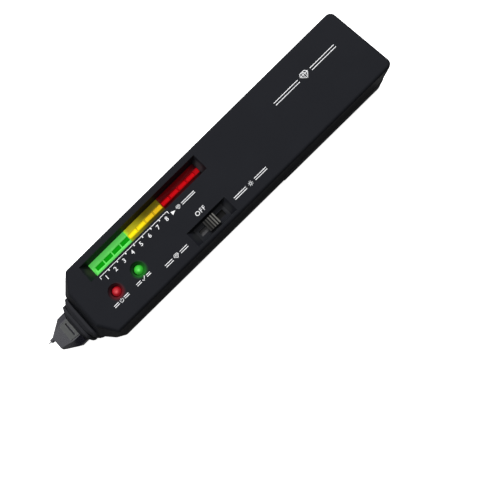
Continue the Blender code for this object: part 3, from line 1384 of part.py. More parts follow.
def build_nose():
    """Build the nose with its probe, its lamp and their wires."""
    nose_shroud(finish("nose_plastic", (0.070, 0.070, 0.082), 0.45))
    nose_plate(finish("plate_plastic", (0.140, 0.140, 0.155), 0.40))
    nose_collar(finish("collar_rubber", (0.010, 0.010, 0.012), 0.75))
    probe_needle(finish("needle_steel", (0.55, 0.50, 0.45), 0.25, 1.0))
    probe_barrel(finish("barrel_brass", (0.70, 0.48, 0.20), 0.30, 1.0))
    probe_spring(finish("spring_steel", (0.50, 0.50, 0.50), 0.30, 1.0))
    probe_plug(finish("plug_nylon", (0.500, 0.480, 0.400), 0.50))
    uv_lamp(finish("uv_lens", (0.300, 0.120, 0.600), 0.10))
    wires = {
        "red": finish("probe_wire", (0.450, 0.015, 0.015), 0.45),
        "white": finish("uv_wire", (0.600, 0.600, 0.580), 0.45),
    }
    half = FINE_LEAD_SPREAD / 2
    for index, side in enumerate((-half, half)):
        nose_lead("probe_lead_%d" % (index + 1), PLUG_REAR_X, PROBE_Y + side, wires["red"])
        nose_lead("uv_lead_%d" % (index + 1), NOSE_X + UV_DROP + UV_LENGTH, UV_Y + side, wires["white"])


def build_display():
    """Build the three coloured bars with their segments, the emitters and the two lamps."""
    colours = (
        ("green", (0.080, 0.500, 0.090), (0.000, 0.260, 0.010)),
        ("yellow", (0.240, 0.200, 0.000), (0.850, 0.650, 0.000)),
        ("red", (0.130, 0.000, 0.005), (0.700, 0.000, 0.005)),
    )
    for index, (name, bar_colour, segment_colour) in enumerate(colours):
        display_bar(index, name, finish("bar_" + name, bar_colour, 0.35))
        display_segments(index, name, finish("segment_" + name, segment_colour, 0.20))
    display_leds(finish("emitter_white", (0.700, 0.700, 0.640), 0.30))
    face_lamp("power_lamp", LAMP_PLACES["power_lamp"], finish("lamp_red", (0.300, 0.005, 0.010), 0.10))
    face_lamp("ready_lamp", LAMP_PLACES["ready_lamp"], finish("lamp_green", (0.020, 0.350, 0.030), 0.10))


def build_board():
    """Build the slide switch, the board and what the board carries."""
    switch_knob(finish("knob_plastic", (0.012, 0.012, 0.012), 0.40))
    switch_body(finish("switch_tin", (0.55, 0.55, 0.56), 0.40, 1.0))
    main_board(finish("board_green", (0.020, 0.110, 0.045), 0.50))
    steel = finish("board_screw_steel", (0.55, 0.55, 0.53), 0.35, 1.0)
    head_top = BOARD_LOW - GAP
    head = (BOARD_SCREW_HEAD_RADIUS, head_top - BOARD_SCREW_HEAD_HEIGHT, head_top)
    for index, place in enumerate(BOARD_SCREW_PLACES):
        screw("board_screw_%d" % (index + 1), place, head, (BOARD_SCREW_RADIUS, BOARD_SCREW_TOP), steel)
    control_chip(finish("chip_black", (0.012, 0.012, 0.014), 0.55))
    sleeve = finish("capacitor_sleeve", (0.020, 0.030, 0.110), 0.40)
    for name, place in CAPACITOR_PLACES.items():
        board_capacitor(name, place, sleeve)
    sounder(finish("sounder_black", (0.010, 0.010, 0.010), 0.40))


def build_battery():
    """Build the battery with its studs, connector, wires and pad."""
    battery(finish("battery_label", (0.050, 0.070, 0.140), 0.35))
    nickel = finish("contact_nickel", (0.65, 0.63, 0.58), 0.25, 1.0)
    battery_contact("contact_round", -1, CONTACT_RADIUS, SMALL_ROUND_SIDES, nickel)
    battery_contact("contact_hex", 1, CONTACT_HEX_RADIUS, CONTACT_HEX_SIDES, nickel)
    battery_snap(finish("snap_vinyl", (0.015, 0.015, 0.015), 0.50))
    battery_lead("battery_lead_red", 1, finish("battery_red_wire", (0.450, 0.015, 0.015), 0.45))
    battery_lead("battery_lead_black", -1, finish("battery_black_wire", (0.012, 0.012, 0.012), 0.45))
    battery_pad(finish("pad_foam", (0.100, 0.100, 0.105), 0.95))


clear_scene()
build_casing()
build_nose()
build_display()
build_board()
build_battery()
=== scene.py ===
"""Looks of a hand-held diamond tester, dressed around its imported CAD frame.

The tester lies on its back: +X runs from the needle tip to the butt, +Y to the side of the
bar display, +Z out of the face. Lengths are in metres. Only places along the tester that go
through from_tip are in millimetres, counted from the needle tip.
"""

import logging
import math
from dataclasses import KW_ONLY, dataclass
from enum import Enum
from typing import Any, ClassVar, Sequence

import bmesh
import bpy
from mathutils import Matrix, Vector


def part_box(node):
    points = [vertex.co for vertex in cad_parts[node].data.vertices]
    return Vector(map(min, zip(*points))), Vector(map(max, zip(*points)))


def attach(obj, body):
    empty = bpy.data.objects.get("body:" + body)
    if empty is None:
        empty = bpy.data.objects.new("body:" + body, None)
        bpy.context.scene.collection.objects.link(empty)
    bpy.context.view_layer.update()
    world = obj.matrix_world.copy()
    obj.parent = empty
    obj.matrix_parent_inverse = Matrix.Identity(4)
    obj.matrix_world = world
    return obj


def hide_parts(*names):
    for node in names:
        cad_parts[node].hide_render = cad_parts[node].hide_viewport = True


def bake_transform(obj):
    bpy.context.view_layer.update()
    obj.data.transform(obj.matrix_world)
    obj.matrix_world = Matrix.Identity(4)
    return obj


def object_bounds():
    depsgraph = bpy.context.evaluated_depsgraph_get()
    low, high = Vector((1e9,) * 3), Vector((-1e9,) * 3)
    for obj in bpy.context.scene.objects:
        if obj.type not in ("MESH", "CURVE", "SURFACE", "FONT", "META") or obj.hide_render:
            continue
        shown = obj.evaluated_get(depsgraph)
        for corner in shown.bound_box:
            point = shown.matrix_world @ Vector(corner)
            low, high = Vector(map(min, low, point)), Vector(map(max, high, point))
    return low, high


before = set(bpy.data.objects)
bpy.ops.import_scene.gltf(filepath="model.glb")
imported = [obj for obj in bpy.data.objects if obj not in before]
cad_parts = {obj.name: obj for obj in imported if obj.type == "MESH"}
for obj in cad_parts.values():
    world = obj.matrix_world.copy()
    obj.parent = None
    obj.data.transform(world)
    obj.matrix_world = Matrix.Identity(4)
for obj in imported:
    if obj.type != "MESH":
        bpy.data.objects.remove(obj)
CAD_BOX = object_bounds()

LOG = logging.getLogger("diamond_tester")

Colour = tuple[float, float, float]
Point = tuple[float, float, float]
Flat = tuple[float, float]
Socket = bpy.types.NodeSocket
Outputs = bpy.types.bpy_prop_collection
Mesh = bpy.types.Mesh
Material = bpy.types.Material
Thing = bpy.types.Object

MILLIMETRE = 0.001
TIP_X = CAD_BOX[0][0]
FACE_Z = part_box("front_shell")[1].z

# The two round lamps, in millimetres behind the tip and in metres across
POWER_X = 36.8
READY_X = 48.3
LAMP_Y = -0.0037

# Points this close are merged, in new meshes and in copies of CAD nodes
MERGE = 0.0000005
CAD_MERGE = 0.000002

# Flatter edges are shaded smooth, sharper ones are rounded
SMOOTH_BELOW = math.radians(35.0)
ROUND_ABOVE = math.radians(30.0)
ROUND_FACETS = 2
CROWN_FACETS = 3
TURN_STEPS = 48


class Body(Enum):
    """The four bodies of the frame."""

    HOUSING = "housing"
    SWITCH = "switch"
    DOOR = "door"
    PROBE = "probe"


class Axis(Enum):
    """Directions along which metal is brushed, as noise stretches along X, Y and Z."""

    ALONG = (0.04, 1.0, 1.0)
    UPRIGHT = (1.0, 1.0, 0.04)


def from_tip(x: float, y: float = 0.0, z: float = 0.0) -> Vector:
    """Return the point that lies x millimetres behind the needle tip, with y and z in metres."""
    return Vector((TIP_X + x * MILLIMETRE, y, z))


def around(centre: Vector, reach: float, degrees: float) -> Flat:
    """Return the flat point at a distance and an angle from a centre."""
    angle = math.radians(degrees)
    return centre.x + reach * math.cos(angle), centre.y + reach * math.sin(angle)


# Node trees

class Tree:
    """A node tree under construction, for a material, a group or a modifier."""

    prefix: ClassVar[str] = "ShaderNode"

    def __init__(self, tree: bpy.types.NodeTree) -> None:
        """Start from an empty tree."""
        self.tree = tree
        tree.nodes.clear()

    def fill(self, socket: Socket, value: Any) -> None:
        """Give an input a value, a colour or another socket.

        Args:
            socket: The input.
            value: What it gets.
        """
        if isinstance(value, Socket):
            self.tree.links.new(value, socket)
        elif socket.type == "RGBA":
            socket.default_value = (*value[:3], 1.0)
        else:
            socket.default_value = value

    def add(self, kind: str, inputs: dict[Any, Any] | None = None, **settings: Any) -> bpy.types.Node:
        """Add one node.

        Args:
            kind: The node's type name, without the prefix of its tree.
            inputs: Values or sockets for its inputs, by their name or number.
            settings: The node's own settings.

        Returns:
            The new node.
        """
        node = self.tree.nodes.new(kind if kind.startswith("Node") else self.prefix + kind)
        for key, value in settings.items():
            setattr(node, key, value)
        for key, value in (inputs or {}).items():
            self.fill(node.inputs[key], value)
        return node

    def math(self, operation: str, *values: Any) -> Socket:
        """Add a Math node and return its result."""
        return self.add("Math", dict(enumerate(values)), operation=operation).outputs[0]

    def vector_math(self, operation: str, *values: Any, output: str = "Vector") -> Socket:
        """Add a Vector Math node and return one of its results."""
        return self.add("VectorMath", dict(enumerate(values)), operation=operation).outputs[output]

    def mix(self, share: Any, first: Any, second: Any) -> Socket:
        """Mix two colours.

        Args:
            share: The share of the second colour.
            first: The first colour.
            second: The second colour.

        Returns:
            The mixed colour.
        """
        node = self.add("Mix", {"Factor": share}, data_type="RGBA")
        for name, value in (("A", first), ("B", second)):
            sockets = (entry for entry in node.inputs if entry.name == name and entry.type == "RGBA")
            self.fill(next(sockets), value)
        return next(entry for entry in node.outputs if entry.type == "RGBA")

    def ramp(self, value: Any, low: Any, high: Any, start: float = 0.0, end: float = 1.0) -> Socket:
        """Map a value smoothly from one range to another, held at both ends."""
        spans = {"Value": value, "From Min": low, "From Max": high, "To Min": start, "To Max": end}
        return self.add("MapRange", spans, interpolation_type="SMOOTHSTEP").outputs["Result"]

    def place(self) -> Socket:
        """Return the object coordinates."""
        return self.add("TexCoord").outputs["Object"]

    def axes(self) -> Outputs:
        """Return the object coordinates as X, Y and Z."""
        return self.add("SeparateXYZ", {0: self.place()}).outputs

    def noise(self, place: Socket, scale: Any, detail: float, roughness: float = 0.5) -> Socket:
        """Add a noise texture and return its value."""
        values = {"Vector": place, "Scale": scale, "Detail": detail, "Roughness": roughness}
        return self.add("TexNoise", values).outputs["Fac"]


class Group(Tree):
    """A node group with named inputs and outputs."""

    def __init__(self, name: str, inputs: dict[str, str], outputs: dict[str, str]) -> None:
        """Start the group.

        Args:
            name: The group's name.
            inputs: The kind of each named input.
            outputs: The kind of each named output.
        """
        super().__init__(bpy.data.node_groups.new(name, self.prefix + "Tree"))
        for way, sockets in (("INPUT", inputs), ("OUTPUT", outputs)):
            for label, kind in sockets.items():
                self.tree.interface.new_socket(label, in_out=way, socket_type="NodeSocket" + kind)
        self.entry = self.add("NodeGroupInput")
        self.exit = self.add("NodeGroupOutput")

    def size(self, name: str) -> Socket:
        """Return the socket of one named input."""
        return self.entry.outputs[name]

    def give(self, **sockets: Socket) -> None:
        """Lead sockets to the named outputs."""
        for name, socket in sockets.items():
            self.fill(self.exit.inputs[name], socket)


DRIFT_SPAN = (0.32, 0.68)
DRIFT_SHARE = 0.6
SPECKLE_SPAN = (0.42, 0.72)
SPECKLE_SHARE = 0.35
FINE_SHARE = 0.6
SLOW_SHARE = 0.4


def moulded_grain() -> Group:
    """Build the group for the fine texture and slow colour drift of moulded plastic.

    Returns:
        A group that gives a colour, a roughness share and a height.
    """
    group = Group("moulded_grain", {"Colour": "Color", "Tint": "Color", "Grain": "Float", "Drift": "Float"},
                  {"Colour": "Color", "Share": "Float", "Height": "Float"})
    place = group.place()
    fine = group.noise(place, group.size("Grain"), 3.0, 0.6)
    slow = group.noise(place, group.size("Drift"), 2.0)
    drift = group.math("MULTIPLY", group.ramp(slow, *DRIFT_SPAN), DRIFT_SHARE)
    speckle = group.ramp(fine, *SPECKLE_SPAN, 0.0, SPECKLE_SHARE)
    colour = group.mix(group.math("MAXIMUM", drift, speckle), group.size("Colour"), group.size("Tint"))
    share = group.math("ADD", group.math("MULTIPLY", fine, FINE_SHARE),
                       group.math("MULTIPLY", slow, SLOW_SHARE))
    group.give(Colour=colour, Share=share, Height=fine)
    return group


WEAR_RADIUS = 0.0003
WEAR_SAMPLES = 4
WEAR_TURN = (0.985, 0.90)
WEAR_PATCHES = 900.0
WEAR_PATCH_SPAN = (0.35, 0.65)


def edge_wear() -> Group:
    """Build the group that finds convex edges and breaks them up, for rubbed edges.

    Returns:
        A group that gives a mask.
    """
    group = Group("edge_wear", {"Amount": "Float"}, {"Mask": "Float"})
    sharp = group.add("NewGeometry").outputs["Normal"]
    soft = group.add("Bevel", {"Radius": WEAR_RADIUS}, samples=WEAR_SAMPLES).outputs["Normal"]
    edge = group.ramp(group.vector_math("DOT_PRODUCT", sharp, soft, output="Value"), *WEAR_TURN)
    patches = group.ramp(group.noise(group.place(), WEAR_PATCHES, 2.0), *WEAR_PATCH_SPAN)
    mask = group.math("MULTIPLY", edge, patches)
    group.give(Mask=group.math("MULTIPLY", mask, group.size("Amount")))
    return group


def glow_spot() -> Group:
    """Build the group for a soft round spot around one place.

    Returns:
        A group that gives a mask: one at the centre, none beyond the outer radius.
    """
    group = Group("glow_spot", {"Centre": "Vector", "Inner": "Float", "Outer": "Float"}, {"Mask": "Float"})
    reach = group.vector_math("DISTANCE", group.place(), group.size("Centre"), output="Value")
    group.give(Mask=group.ramp(reach, group.size("Outer"), group.size("Inner")))
    return group


LINE_SCALE = 9000.0
LINE_SPAN = (0.3, 0.7)


def brushed_lines() -> Group:
    """Build the group for fine drawn lines in metal.

    Returns:
        A group that gives a share for roughness and colour, and a height.
    """
    group = Group("brushed_lines", {"Stretch": "Vector"}, {"Share": "Float", "Height": "Float"})
    drawn = group.vector_math("MULTIPLY", group.place(), group.size("Stretch"))
    lines = group.noise(drawn, LINE_SCALE, 3.0)
    group.give(Share=group.ramp(lines, *LINE_SPAN), Height=lines)
    return group


GRAIN = moulded_grain()
WEAR = edge_wear()
SPOT = glow_spot()
LINES = brushed_lines()


class Painter(Tree):
    """One material under construction, with its Principled shader."""

    def __init__(self, name: str) -> None:
        """Start a material.

        Args:
            name: The material's name.
        """
        self.material = bpy.data.materials.new(name)
        self.material.use_nodes = True
        super().__init__(self.material.node_tree)
        self.shader = self.add("BsdfPrincipled")
        self.add("OutputMaterial", {"Surface": self.shader.outputs["BSDF"]})

    def use(self, group: Group, **inputs: Any) -> Outputs:
        """Place a shared group in this material with its own values and return its outputs."""
        return self.add("Group", inputs, node_tree=group.tree).outputs

    def lay(self, colour: Any, tones: Sequence["Tone"]) -> Any:
        """Lay tones over a colour, one after the other.

        Args:
            colour: The colour below them.
            tones: The tones, each with its own mask.

        Returns:
            The colour that they make.
        """
        for tone in tones:
            colour = self.mix(tone.mask(self), colour, tone.colour)
        return colour

    def set(self, **values: Any) -> None:
        """Fill the shader's sockets, with underscores for the spaces in their names."""
        for name, value in values.items():
            self.fill(self.shader.inputs[name.replace("_", " ")], value)


# Finishes

@dataclass(frozen=True)
class Tone:
    """A colour laid over a finish where a mask is full."""

    colour: Colour

    def mask(self, paint: Painter) -> Socket:
        """Return the mask; each kind of tone has its own."""
        raise NotImplementedError


@dataclass(frozen=True)
class Spot(Tone):
    """A soft round spot, such as the light of a lamp on the plastic round it."""

    centre: Point
    inner: float
    outer: float

    def mask(self, paint: Painter) -> Socket:
        """Return a mask that is full within the inner radius."""
        return paint.use(SPOT, Centre=self.centre, Inner=self.inner, Outer=self.outer)["Mask"]


@dataclass(frozen=True)
class Rub(Tone):
    """Rubbed edges."""

    amount: float

    def mask(self, paint: Painter) -> Socket:
        """Return a mask of the convex edges."""
        return paint.use(WEAR, Amount=self.amount)["Mask"]


@dataclass(frozen=True)
class Fade(Tone):
    """A tone that comes in along an axis, from where it is clear to where it is full."""

    axis: str
    clear: float
    full: float

    def mask(self, paint: Painter) -> Socket:
        """Return a mask that rises along the axis."""
        return paint.ramp(paint.axes()[self.axis], self.clear, self.full)


@dataclass(frozen=True)
class Crest(Fade):
    """A fade that is weaker at one end of the X axis."""

    span: Flat
    least: float

    def mask(self, paint: Painter) -> Socket:
        """Return the fade's mask times its strength along X."""
        strength = paint.ramp(paint.axes()["X"], *self.span, self.least, 1.0)
        return paint.math("MULTIPLY", super().mask(paint), strength)


@dataclass(frozen=True)
class Finish:
    """A grainy ground with tones over it, a range of roughness and a relief.

    Its name is the record's material slot, but for the windows and the print.
    """

    name: str
    colour: Colour
    tint: Colour
    _: KW_ONLY
    tones: tuple[Tone, ...] = ()
    grain: float = 3000.0
    drift: float = 45.0
    rough: Flat = (0.36, 0.54)
    rough_span: Flat = (0.3, 0.7)
    depth: float = 0.00002
    glow: float = 0.0
    metallic: float = 0.0
    specular: float = 0.5
    coat: float = 0.0
    coat_roughness: float = 0.12

    def ground(self, paint: Painter, grain: Outputs) -> tuple[Socket, Socket, Socket]:
        """Return the colour below the tones, the share of roughness and the height of the relief."""
        return grain["Colour"], grain["Share"], grain["Height"]

    def layers(self) -> tuple[Tone, ...]:
        """Return the tones over the ground."""
        return self.tones

    def make(self) -> Material:
        """Build the material.

        Returns:
            The finished material.
        """
        paint = Painter(self.name)
        grain = paint.use(GRAIN, Colour=self.colour, Tint=self.tint, Grain=self.grain, Drift=self.drift)
        below, share, height = self.ground(paint, grain)
        colour = paint.lay(below, self.layers())
        relief = paint.add("Bump", {"Height": height, "Distance": self.depth, "Strength": 1.0})
        paint.set(Base_Color=colour, Roughness=paint.ramp(share, *self.rough_span, *self.rough),
                  Normal=relief.outputs["Normal"], Metallic=self.metallic, Specular_IOR_Level=self.specular,
                  Coat_Weight=self.coat, Coat_Roughness=self.coat_roughness)
        if self.glow:
            paint.set(Emission_Color=colour, Emission_Strength=self.glow)
        return paint.material


@dataclass(frozen=True)
class Plastic(Finish):
    """Moulded plastic, rubber or vinyl with rubbed edges."""

    _: KW_ONLY
    specular: float = 0.28
    wear: float = 0.35
    wear_colour: Colour = (0.06, 0.06, 0.065)

    def layers(self) -> tuple[Tone, ...]:
        """Return the rubbed edges and the tones over them."""
        return (Rub(self.wear_colour, self.wear), *self.tones)


@dataclass(frozen=True)
class Sleeve(Finish):
    """Printed sleeve of a battery or capacitor: two plain tones that meet at one level."""

    _: KW_ONLY
    beyond: Colour
    axis: str
    border: float
    blend: float = 0.0002
    wear: float = 0.3
    wear_colour: Colour = (0.35, 0.35, 0.36)
    grain: float = 1600.0
    rough: Flat = (0.23, 0.38)
    depth: float = 0.00001

    def layers(self) -> tuple[Tone, ...]:
        """Return the second tone and the rubbed edges."""
        second = Fade(self.beyond, self.axis, self.border - self.blend, self.border + self.blend)
        return second, Rub(self.wear_colour, self.wear)


@dataclass(frozen=True)
class Lens(Finish):
    """Tinted clear lamp with a dark rim, a bright body and a brighter core."""

    _: KW_ONLY
    body: Colour
    core: Colour
    centre: Point
    radius: float = 0.0021
    body_share: float = 0.35
    core_share: float = 0.30
    glow: float = 0.5
    grain: float = 1400.0
    rough: Flat = (0.14, 0.24)
    depth: float = 0.000004
    specular: float = 0.4
    coat: float = 0.3
    coat_roughness: float = 0.08

    def layers(self) -> tuple[Tone, ...]:
        """Return the body and the core."""
        return (Spot(self.body, self.centre, self.radius * self.body_share, self.radius),
                Spot(self.core, self.centre, 0.0, self.radius * self.core_share))


@dataclass(frozen=True)
class Metal(Finish):
    """Drawn, turned or plated metal, whose tint is its dull tone."""

    _: KW_ONLY
    axis: Axis = Axis.ALONG
    dull_share: float = 0.4
    grain: float = 1500.0
    rough: Flat = (0.22, 0.42)
    rough_span: Flat = (0.0, 1.0)
    depth: float = 0.000004
    metallic: float = 1.0

    def ground(self, paint: Painter, grain: Outputs) -> tuple[Socket, Socket, Socket]:
        """Brush the metal.

        Args:
            paint: The material under construction.
            grain: The outputs of its grain.

        Returns:
            The colour, the share of roughness and the height of the relief.
        """
        lines = paint.use(LINES, Stretch=self.axis.value)
        dulled = paint.math("MULTIPLY", lines["Share"], self.dull_share)
        return paint.mix(dulled, grain["Colour"], self.tint), lines["Share"], lines["Height"]


@dataclass(frozen=True)
class Laminate(Finish):
    """Circuit board with copper tracks under its lacquer."""

    _: KW_ONLY
    track: Colour
    cell: float = 260.0
    track_width: float = 0.045
    track_blur: float = 0.1
    track_length: float = 1.4
    track_pitch: float = 0.35
    track_step: float = 0.37
    grain: float = 2500.0
    rough: Flat = (0.22, 0.36)
    depth: float = 0.00003

    def ground(self, paint: Painter, grain: Outputs) -> tuple[Socket, Socket, Socket]:
        """Lay the tracks.

        Args:
            paint: The material under construction.
            grain: The outputs of its grain.

        Returns:
            The colour, the share of roughness and the height of the relief.
        """
        sizes = {"Scale": self.cell, "Mortar Size": self.track_width, "Mortar Smooth": self.track_blur,
                 "Brick Width": self.track_length, "Row Height": self.track_pitch}
        bricks = paint.add("TexBrick", {"Vector": paint.place(), **sizes}, offset=self.track_step)
        tracks = bricks.outputs["Fac"]
        return paint.mix(tracks, grain["Colour"], self.track), grain["Share"], tracks


@dataclass(frozen=True)
class Window(Finish):
    """Backlit plastic of the bar display: an edge tone, and a middle tone along its middle line.

    The painted tilt scales the edge tone on the two sides of the middle line: painted light on the +Y side,
    which lies in the recess wall's shadow, and painted shade on the lit -Y side.
    """

    _: KW_ONLY
    middle: Colour
    line_y: float
    inner: float
    outer: float
    ends: tuple[Fade, ...] = ()
    middle_ends: tuple[Fade, ...] = ()
    tilt: Flat = (1.0, 1.0)
    tilt_half: float = 0.0016
    cloud: Flat = (0.82, 1.0)
    cloud_span: Flat = (0.2, 0.8)
    grain: float = 1800.0
    rough: Flat = (0.24, 0.38)
    depth: float = 0.000006
    specular: float = 0.06

    def ground(self, paint: Painter, grain: Outputs) -> tuple[Socket, Socket, Socket]:
        """Mix the edge tone and the middle tone.

        Args:
            paint: The material under construction.
            grain: The outputs of its grain.

        Returns:
            The colour, the share of roughness and the height of the relief.
        """
        across = paint.axes()["Y"]
        # Painted light and shade across the bar: the edge tone is scaled from the -Y side to the +Y side
        painted_lean = paint.ramp(across, self.line_y - self.tilt_half, self.line_y + self.tilt_half, *self.tilt)
        edge = paint.vector_math("MULTIPLY", paint.lay(grain["Colour"], self.ends), painted_lean)
        off_line = paint.math("ABSOLUTE", paint.math("SUBTRACT", across, self.line_y))
        share = paint.math("MULTIPLY", paint.ramp(off_line, self.outer, self.inner),
                           paint.ramp(grain["Share"], *self.cloud_span, *self.cloud))
        colour = paint.mix(share, edge, paint.lay(self.middle, self.middle_ends))
        return colour, grain["Share"], grain["Height"]


# Meshes

def add_object(name: str, data: bpy.types.ID) -> Thing:
    """Hang something in the scene as an object at the origin.

    Args:
        name: The object's name.
        data: Its mesh, curve, lamp or camera.

    Returns:
        The object.
    """
    thing = bpy.data.objects.new(name, data)
    bpy.context.scene.collection.objects.link(thing)
    return thing


def baked(draft: Thing) -> Mesh:
    """Take the mesh of a draft as its modifiers leave it, and remove the draft.

    Args:
        draft: The object to evaluate.

    Returns:
        A new mesh that no object uses.
    """
    bpy.context.view_layer.update()
    graph = bpy.context.evaluated_depsgraph_get()
    mesh = bpy.data.meshes.new_from_object(draft.evaluated_get(graph))
    bpy.data.objects.remove(draft)
    return mesh


def smooth(mesh: Mesh) -> Mesh:
    """Shade a mesh smooth, with its sharp edges kept hard.

    Args:
        mesh: The mesh to shade.

    Returns:
        The same mesh.
    """
    mesh.shade_smooth()
    mesh.set_sharp_from_angle(angle=SMOOTH_BELOW)
    return mesh


def round_edges(draft: Thing, width: float, facets: int) -> None:
    """Add a modifier that rounds the sharp edges of a draft.

    Args:
        draft: The object to round.
        width: The width of the rounding.
        facets: The number of faces across it.
    """
    step = draft.modifiers.new("rounding", "BEVEL")
    step.limit_method, step.angle_limit = "ANGLE", ROUND_ABOVE
    step.width, step.segments = width, facets


def written(shape: bmesh.types.BMesh, name: str) -> Mesh:
    """Turn a mesh under construction into mesh data as it is.

    Args:
        shape: The mesh under construction, which is freed.
        name: The new mesh's name.

    Returns:
        The new mesh.
    """
    mesh = bpy.data.meshes.new(name)
    shape.to_mesh(mesh)
    shape.free()
    return mesh


def as_mesh(shape: bmesh.types.BMesh, name: str) -> Mesh:
    """Turn a mesh under construction into mesh data, merged and with outward faces.

    Args:
        shape: The mesh under construction, which is freed.
        name: The new mesh's name.

    Returns:
        The new mesh.
    """
    bmesh.ops.remove_doubles(shape, verts=shape.verts, dist=MERGE)
    bmesh.ops.recalc_face_normals(shape, faces=shape.faces)
    return written(shape, name)


def opened(mesh: Mesh) -> bmesh.types.BMesh:
    """Open a copy of a mesh to changes.

    Args:
        mesh: The mesh to copy.

    Returns:
        The copy, under construction.
    """
    shape = bmesh.new()
    shape.from_mesh(mesh)
    return shape


def softened(node: str, width: float) -> Mesh:
    """Copy a CAD node, merged, with its edges rounded and its flats shaded flat.

    Args:
        node: The CAD node to copy.
        width: The width of the rounding, or zero for none.

    Returns:
        The new mesh, shaded smooth.
    """
    shape = opened(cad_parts[node].data)
    bmesh.ops.remove_doubles(shape, verts=shape.verts, dist=CAD_MERGE)
    draft = add_object(node + "_draft", smooth(written(shape, node + "_soft")))
    if width:
        round_edges(draft, width, ROUND_FACETS)
    shading = draft.modifiers.new("shading", "WEIGHTED_NORMAL")
    shading.mode, shading.weight, shading.keep_sharp = "FACE_AREA", 100, True
    return baked(draft)


def turned(name: str, profile: Sequence[Flat], place: Vector) -> Mesh:
    """Turn a profile about an upright axis.

    Args:
        name: The mesh's name.
        profile: Radius and level of each point, from one pole to the other.
        place: The point that level zero sits at.

    Returns:
        The new mesh, shaded smooth.
    """
    shape = bmesh.new()
    points = [shape.verts.new((radius, 0.0, level)) for radius, level in profile]
    edges = [shape.edges.new(pair) for pair in zip(points, points[1:])]
    bmesh.ops.spin(shape, geom=points + edges, cent=(0, 0, 0), axis=(0, 0, 1), angle=math.tau,
                   steps=TURN_STEPS, use_merge=True, use_duplicate=False)
    bmesh.ops.translate(shape, verts=shape.verts, vec=place)
    return smooth(as_mesh(shape, name))


def plate(name: str, outline: Sequence[Flat], low: float, high: float) -> Mesh:
    """Build a flat plate.

    Args:
        name: The mesh's name.
        outline: The points of its rim.
        low: The height of its underside.
        high: The height of its top.

    Returns:
        The new mesh.
    """
    shape = bmesh.new()
    under, over = ([shape.verts.new((x, y, level)) for x, y in outline] for level in (low, high))
    shape.faces.new(under[::-1])
    shape.faces.new(over)
    for index in range(len(outline)):
        shape.faces.new((under[index - 1], under[index], over[index], over[index - 1]))
    return as_mesh(shape, name)


# Geometry Nodes

class Maker(Group):
    """A Geometry Nodes tree with named inputs, run once on a draft object."""

    prefix: ClassVar[str] = "GeometryNode"

    def __init__(self, name: str, **sizes: str) -> None:
        """Start the tree with the kind of each named input."""
        super().__init__(name, {"Geometry": "Geometry", **sizes, "Material": "Material"},
                         {"Geometry": "Geometry"})

    def close(self, geometry: Socket) -> None:
        """End the tree: realize the instances and set the material.

        Args:
            geometry: What the tree has built.
        """
        real = self.add("RealizeInstances", {"Geometry": geometry}).outputs[0]
        dressed = self.add("SetMaterial", {"Geometry": real, "Material": self.size("Material")})
        self.give(Geometry=dressed.outputs[0])

    def sweep(self, curve: Socket, profile: Socket) -> Socket:
        """Sweep a profile along a curve and return the tube."""
        values = {"Curve": curve, "Profile Curve": profile, "Fill Caps": True}
        return self.add("CurveToMesh", values).outputs[0]

    def quad(self, width: str, height: str) -> Socket:
        """Return a flat rectangle whose sides are two of the named inputs."""
        return self.add("CurvePrimitiveQuadrilateral",
                        {"Width": self.size(width), "Height": self.size(height)}).outputs[0]

    def run(self, name: str, start: bpy.types.ID | None = None, **sizes: Any) -> Mesh:
        """Run the tree on a draft and keep the mesh.

        Args:
            name: The draft's name.
            start: A curve or mesh to start from, or none.
            sizes: Values of the named inputs.

        Returns:
            The plain mesh that the tree makes.
        """
        draft = add_object(name, start or bpy.data.meshes.new(name))
        step = draft.modifiers.new(self.tree.name, "NODES")
        step.node_group = self.tree
        for socket in self.tree.interface.items_tree:
            if socket.in_out == "INPUT" and socket.name in sizes:
                step[socket.identifier] = sizes[socket.name]
        return baked(draft)


def row_of_blocks() -> Maker:
    """Build the tree for a row of equal rounded blocks.

    Returns:
        The tree, with the row's start, step and count and the block's size as inputs.
    """
    maker = Maker("row_of_blocks", Count="Int", Start="Vector", Step="Vector", Length="Float", Width="Float",
                  Height="Float", Corner="Float")
    outline = maker.add("FilletCurve", {"Curve": maker.quad("Length", "Width"), "Count": 3,
                                        "Radius": maker.size("Corner")}, mode="POLY")
    flat = maker.add("FillCurve", {"Curve": outline.outputs[0]}, mode="NGONS").outputs[0]
    raised = maker.add("ExtrudeMesh", {"Mesh": flat, "Offset Scale": maker.size("Height")})
    under = maker.add("FlipFaces", {"Mesh": flat})
    both = maker.add("JoinGeometry")
    for part in (raised, under):
        maker.fill(both.inputs[0], part.outputs[0])
    block = maker.add("MergeByDistance", {"Geometry": both.outputs[0], "Distance": MERGE})
    line = maker.add("MeshLine", {
        "Count": maker.size("Count"), "Start Location": maker.size("Start"), "Offset": maker.size("Step")},
        mode="OFFSET")
    row = maker.add("InstanceOnPoints", {"Points": line.outputs[0], "Instance": block.outputs[0]})
    maker.close(row.outputs[0])
    return maker


def printed_line() -> Maker:
    """Build the tree for a flat printed line along a curve.

    Returns:
        The tree, with the line's width and thickness as inputs.
    """
    maker = Maker("printed_line", Width="Float", Thickness="Float")
    upright = maker.add("SetCurveNormal", {"Curve": maker.size("Geometry")}, mode="Z_UP")
    maker.close(maker.sweep(upright.outputs[0], maker.quad("Width", "Thickness")))
    return maker


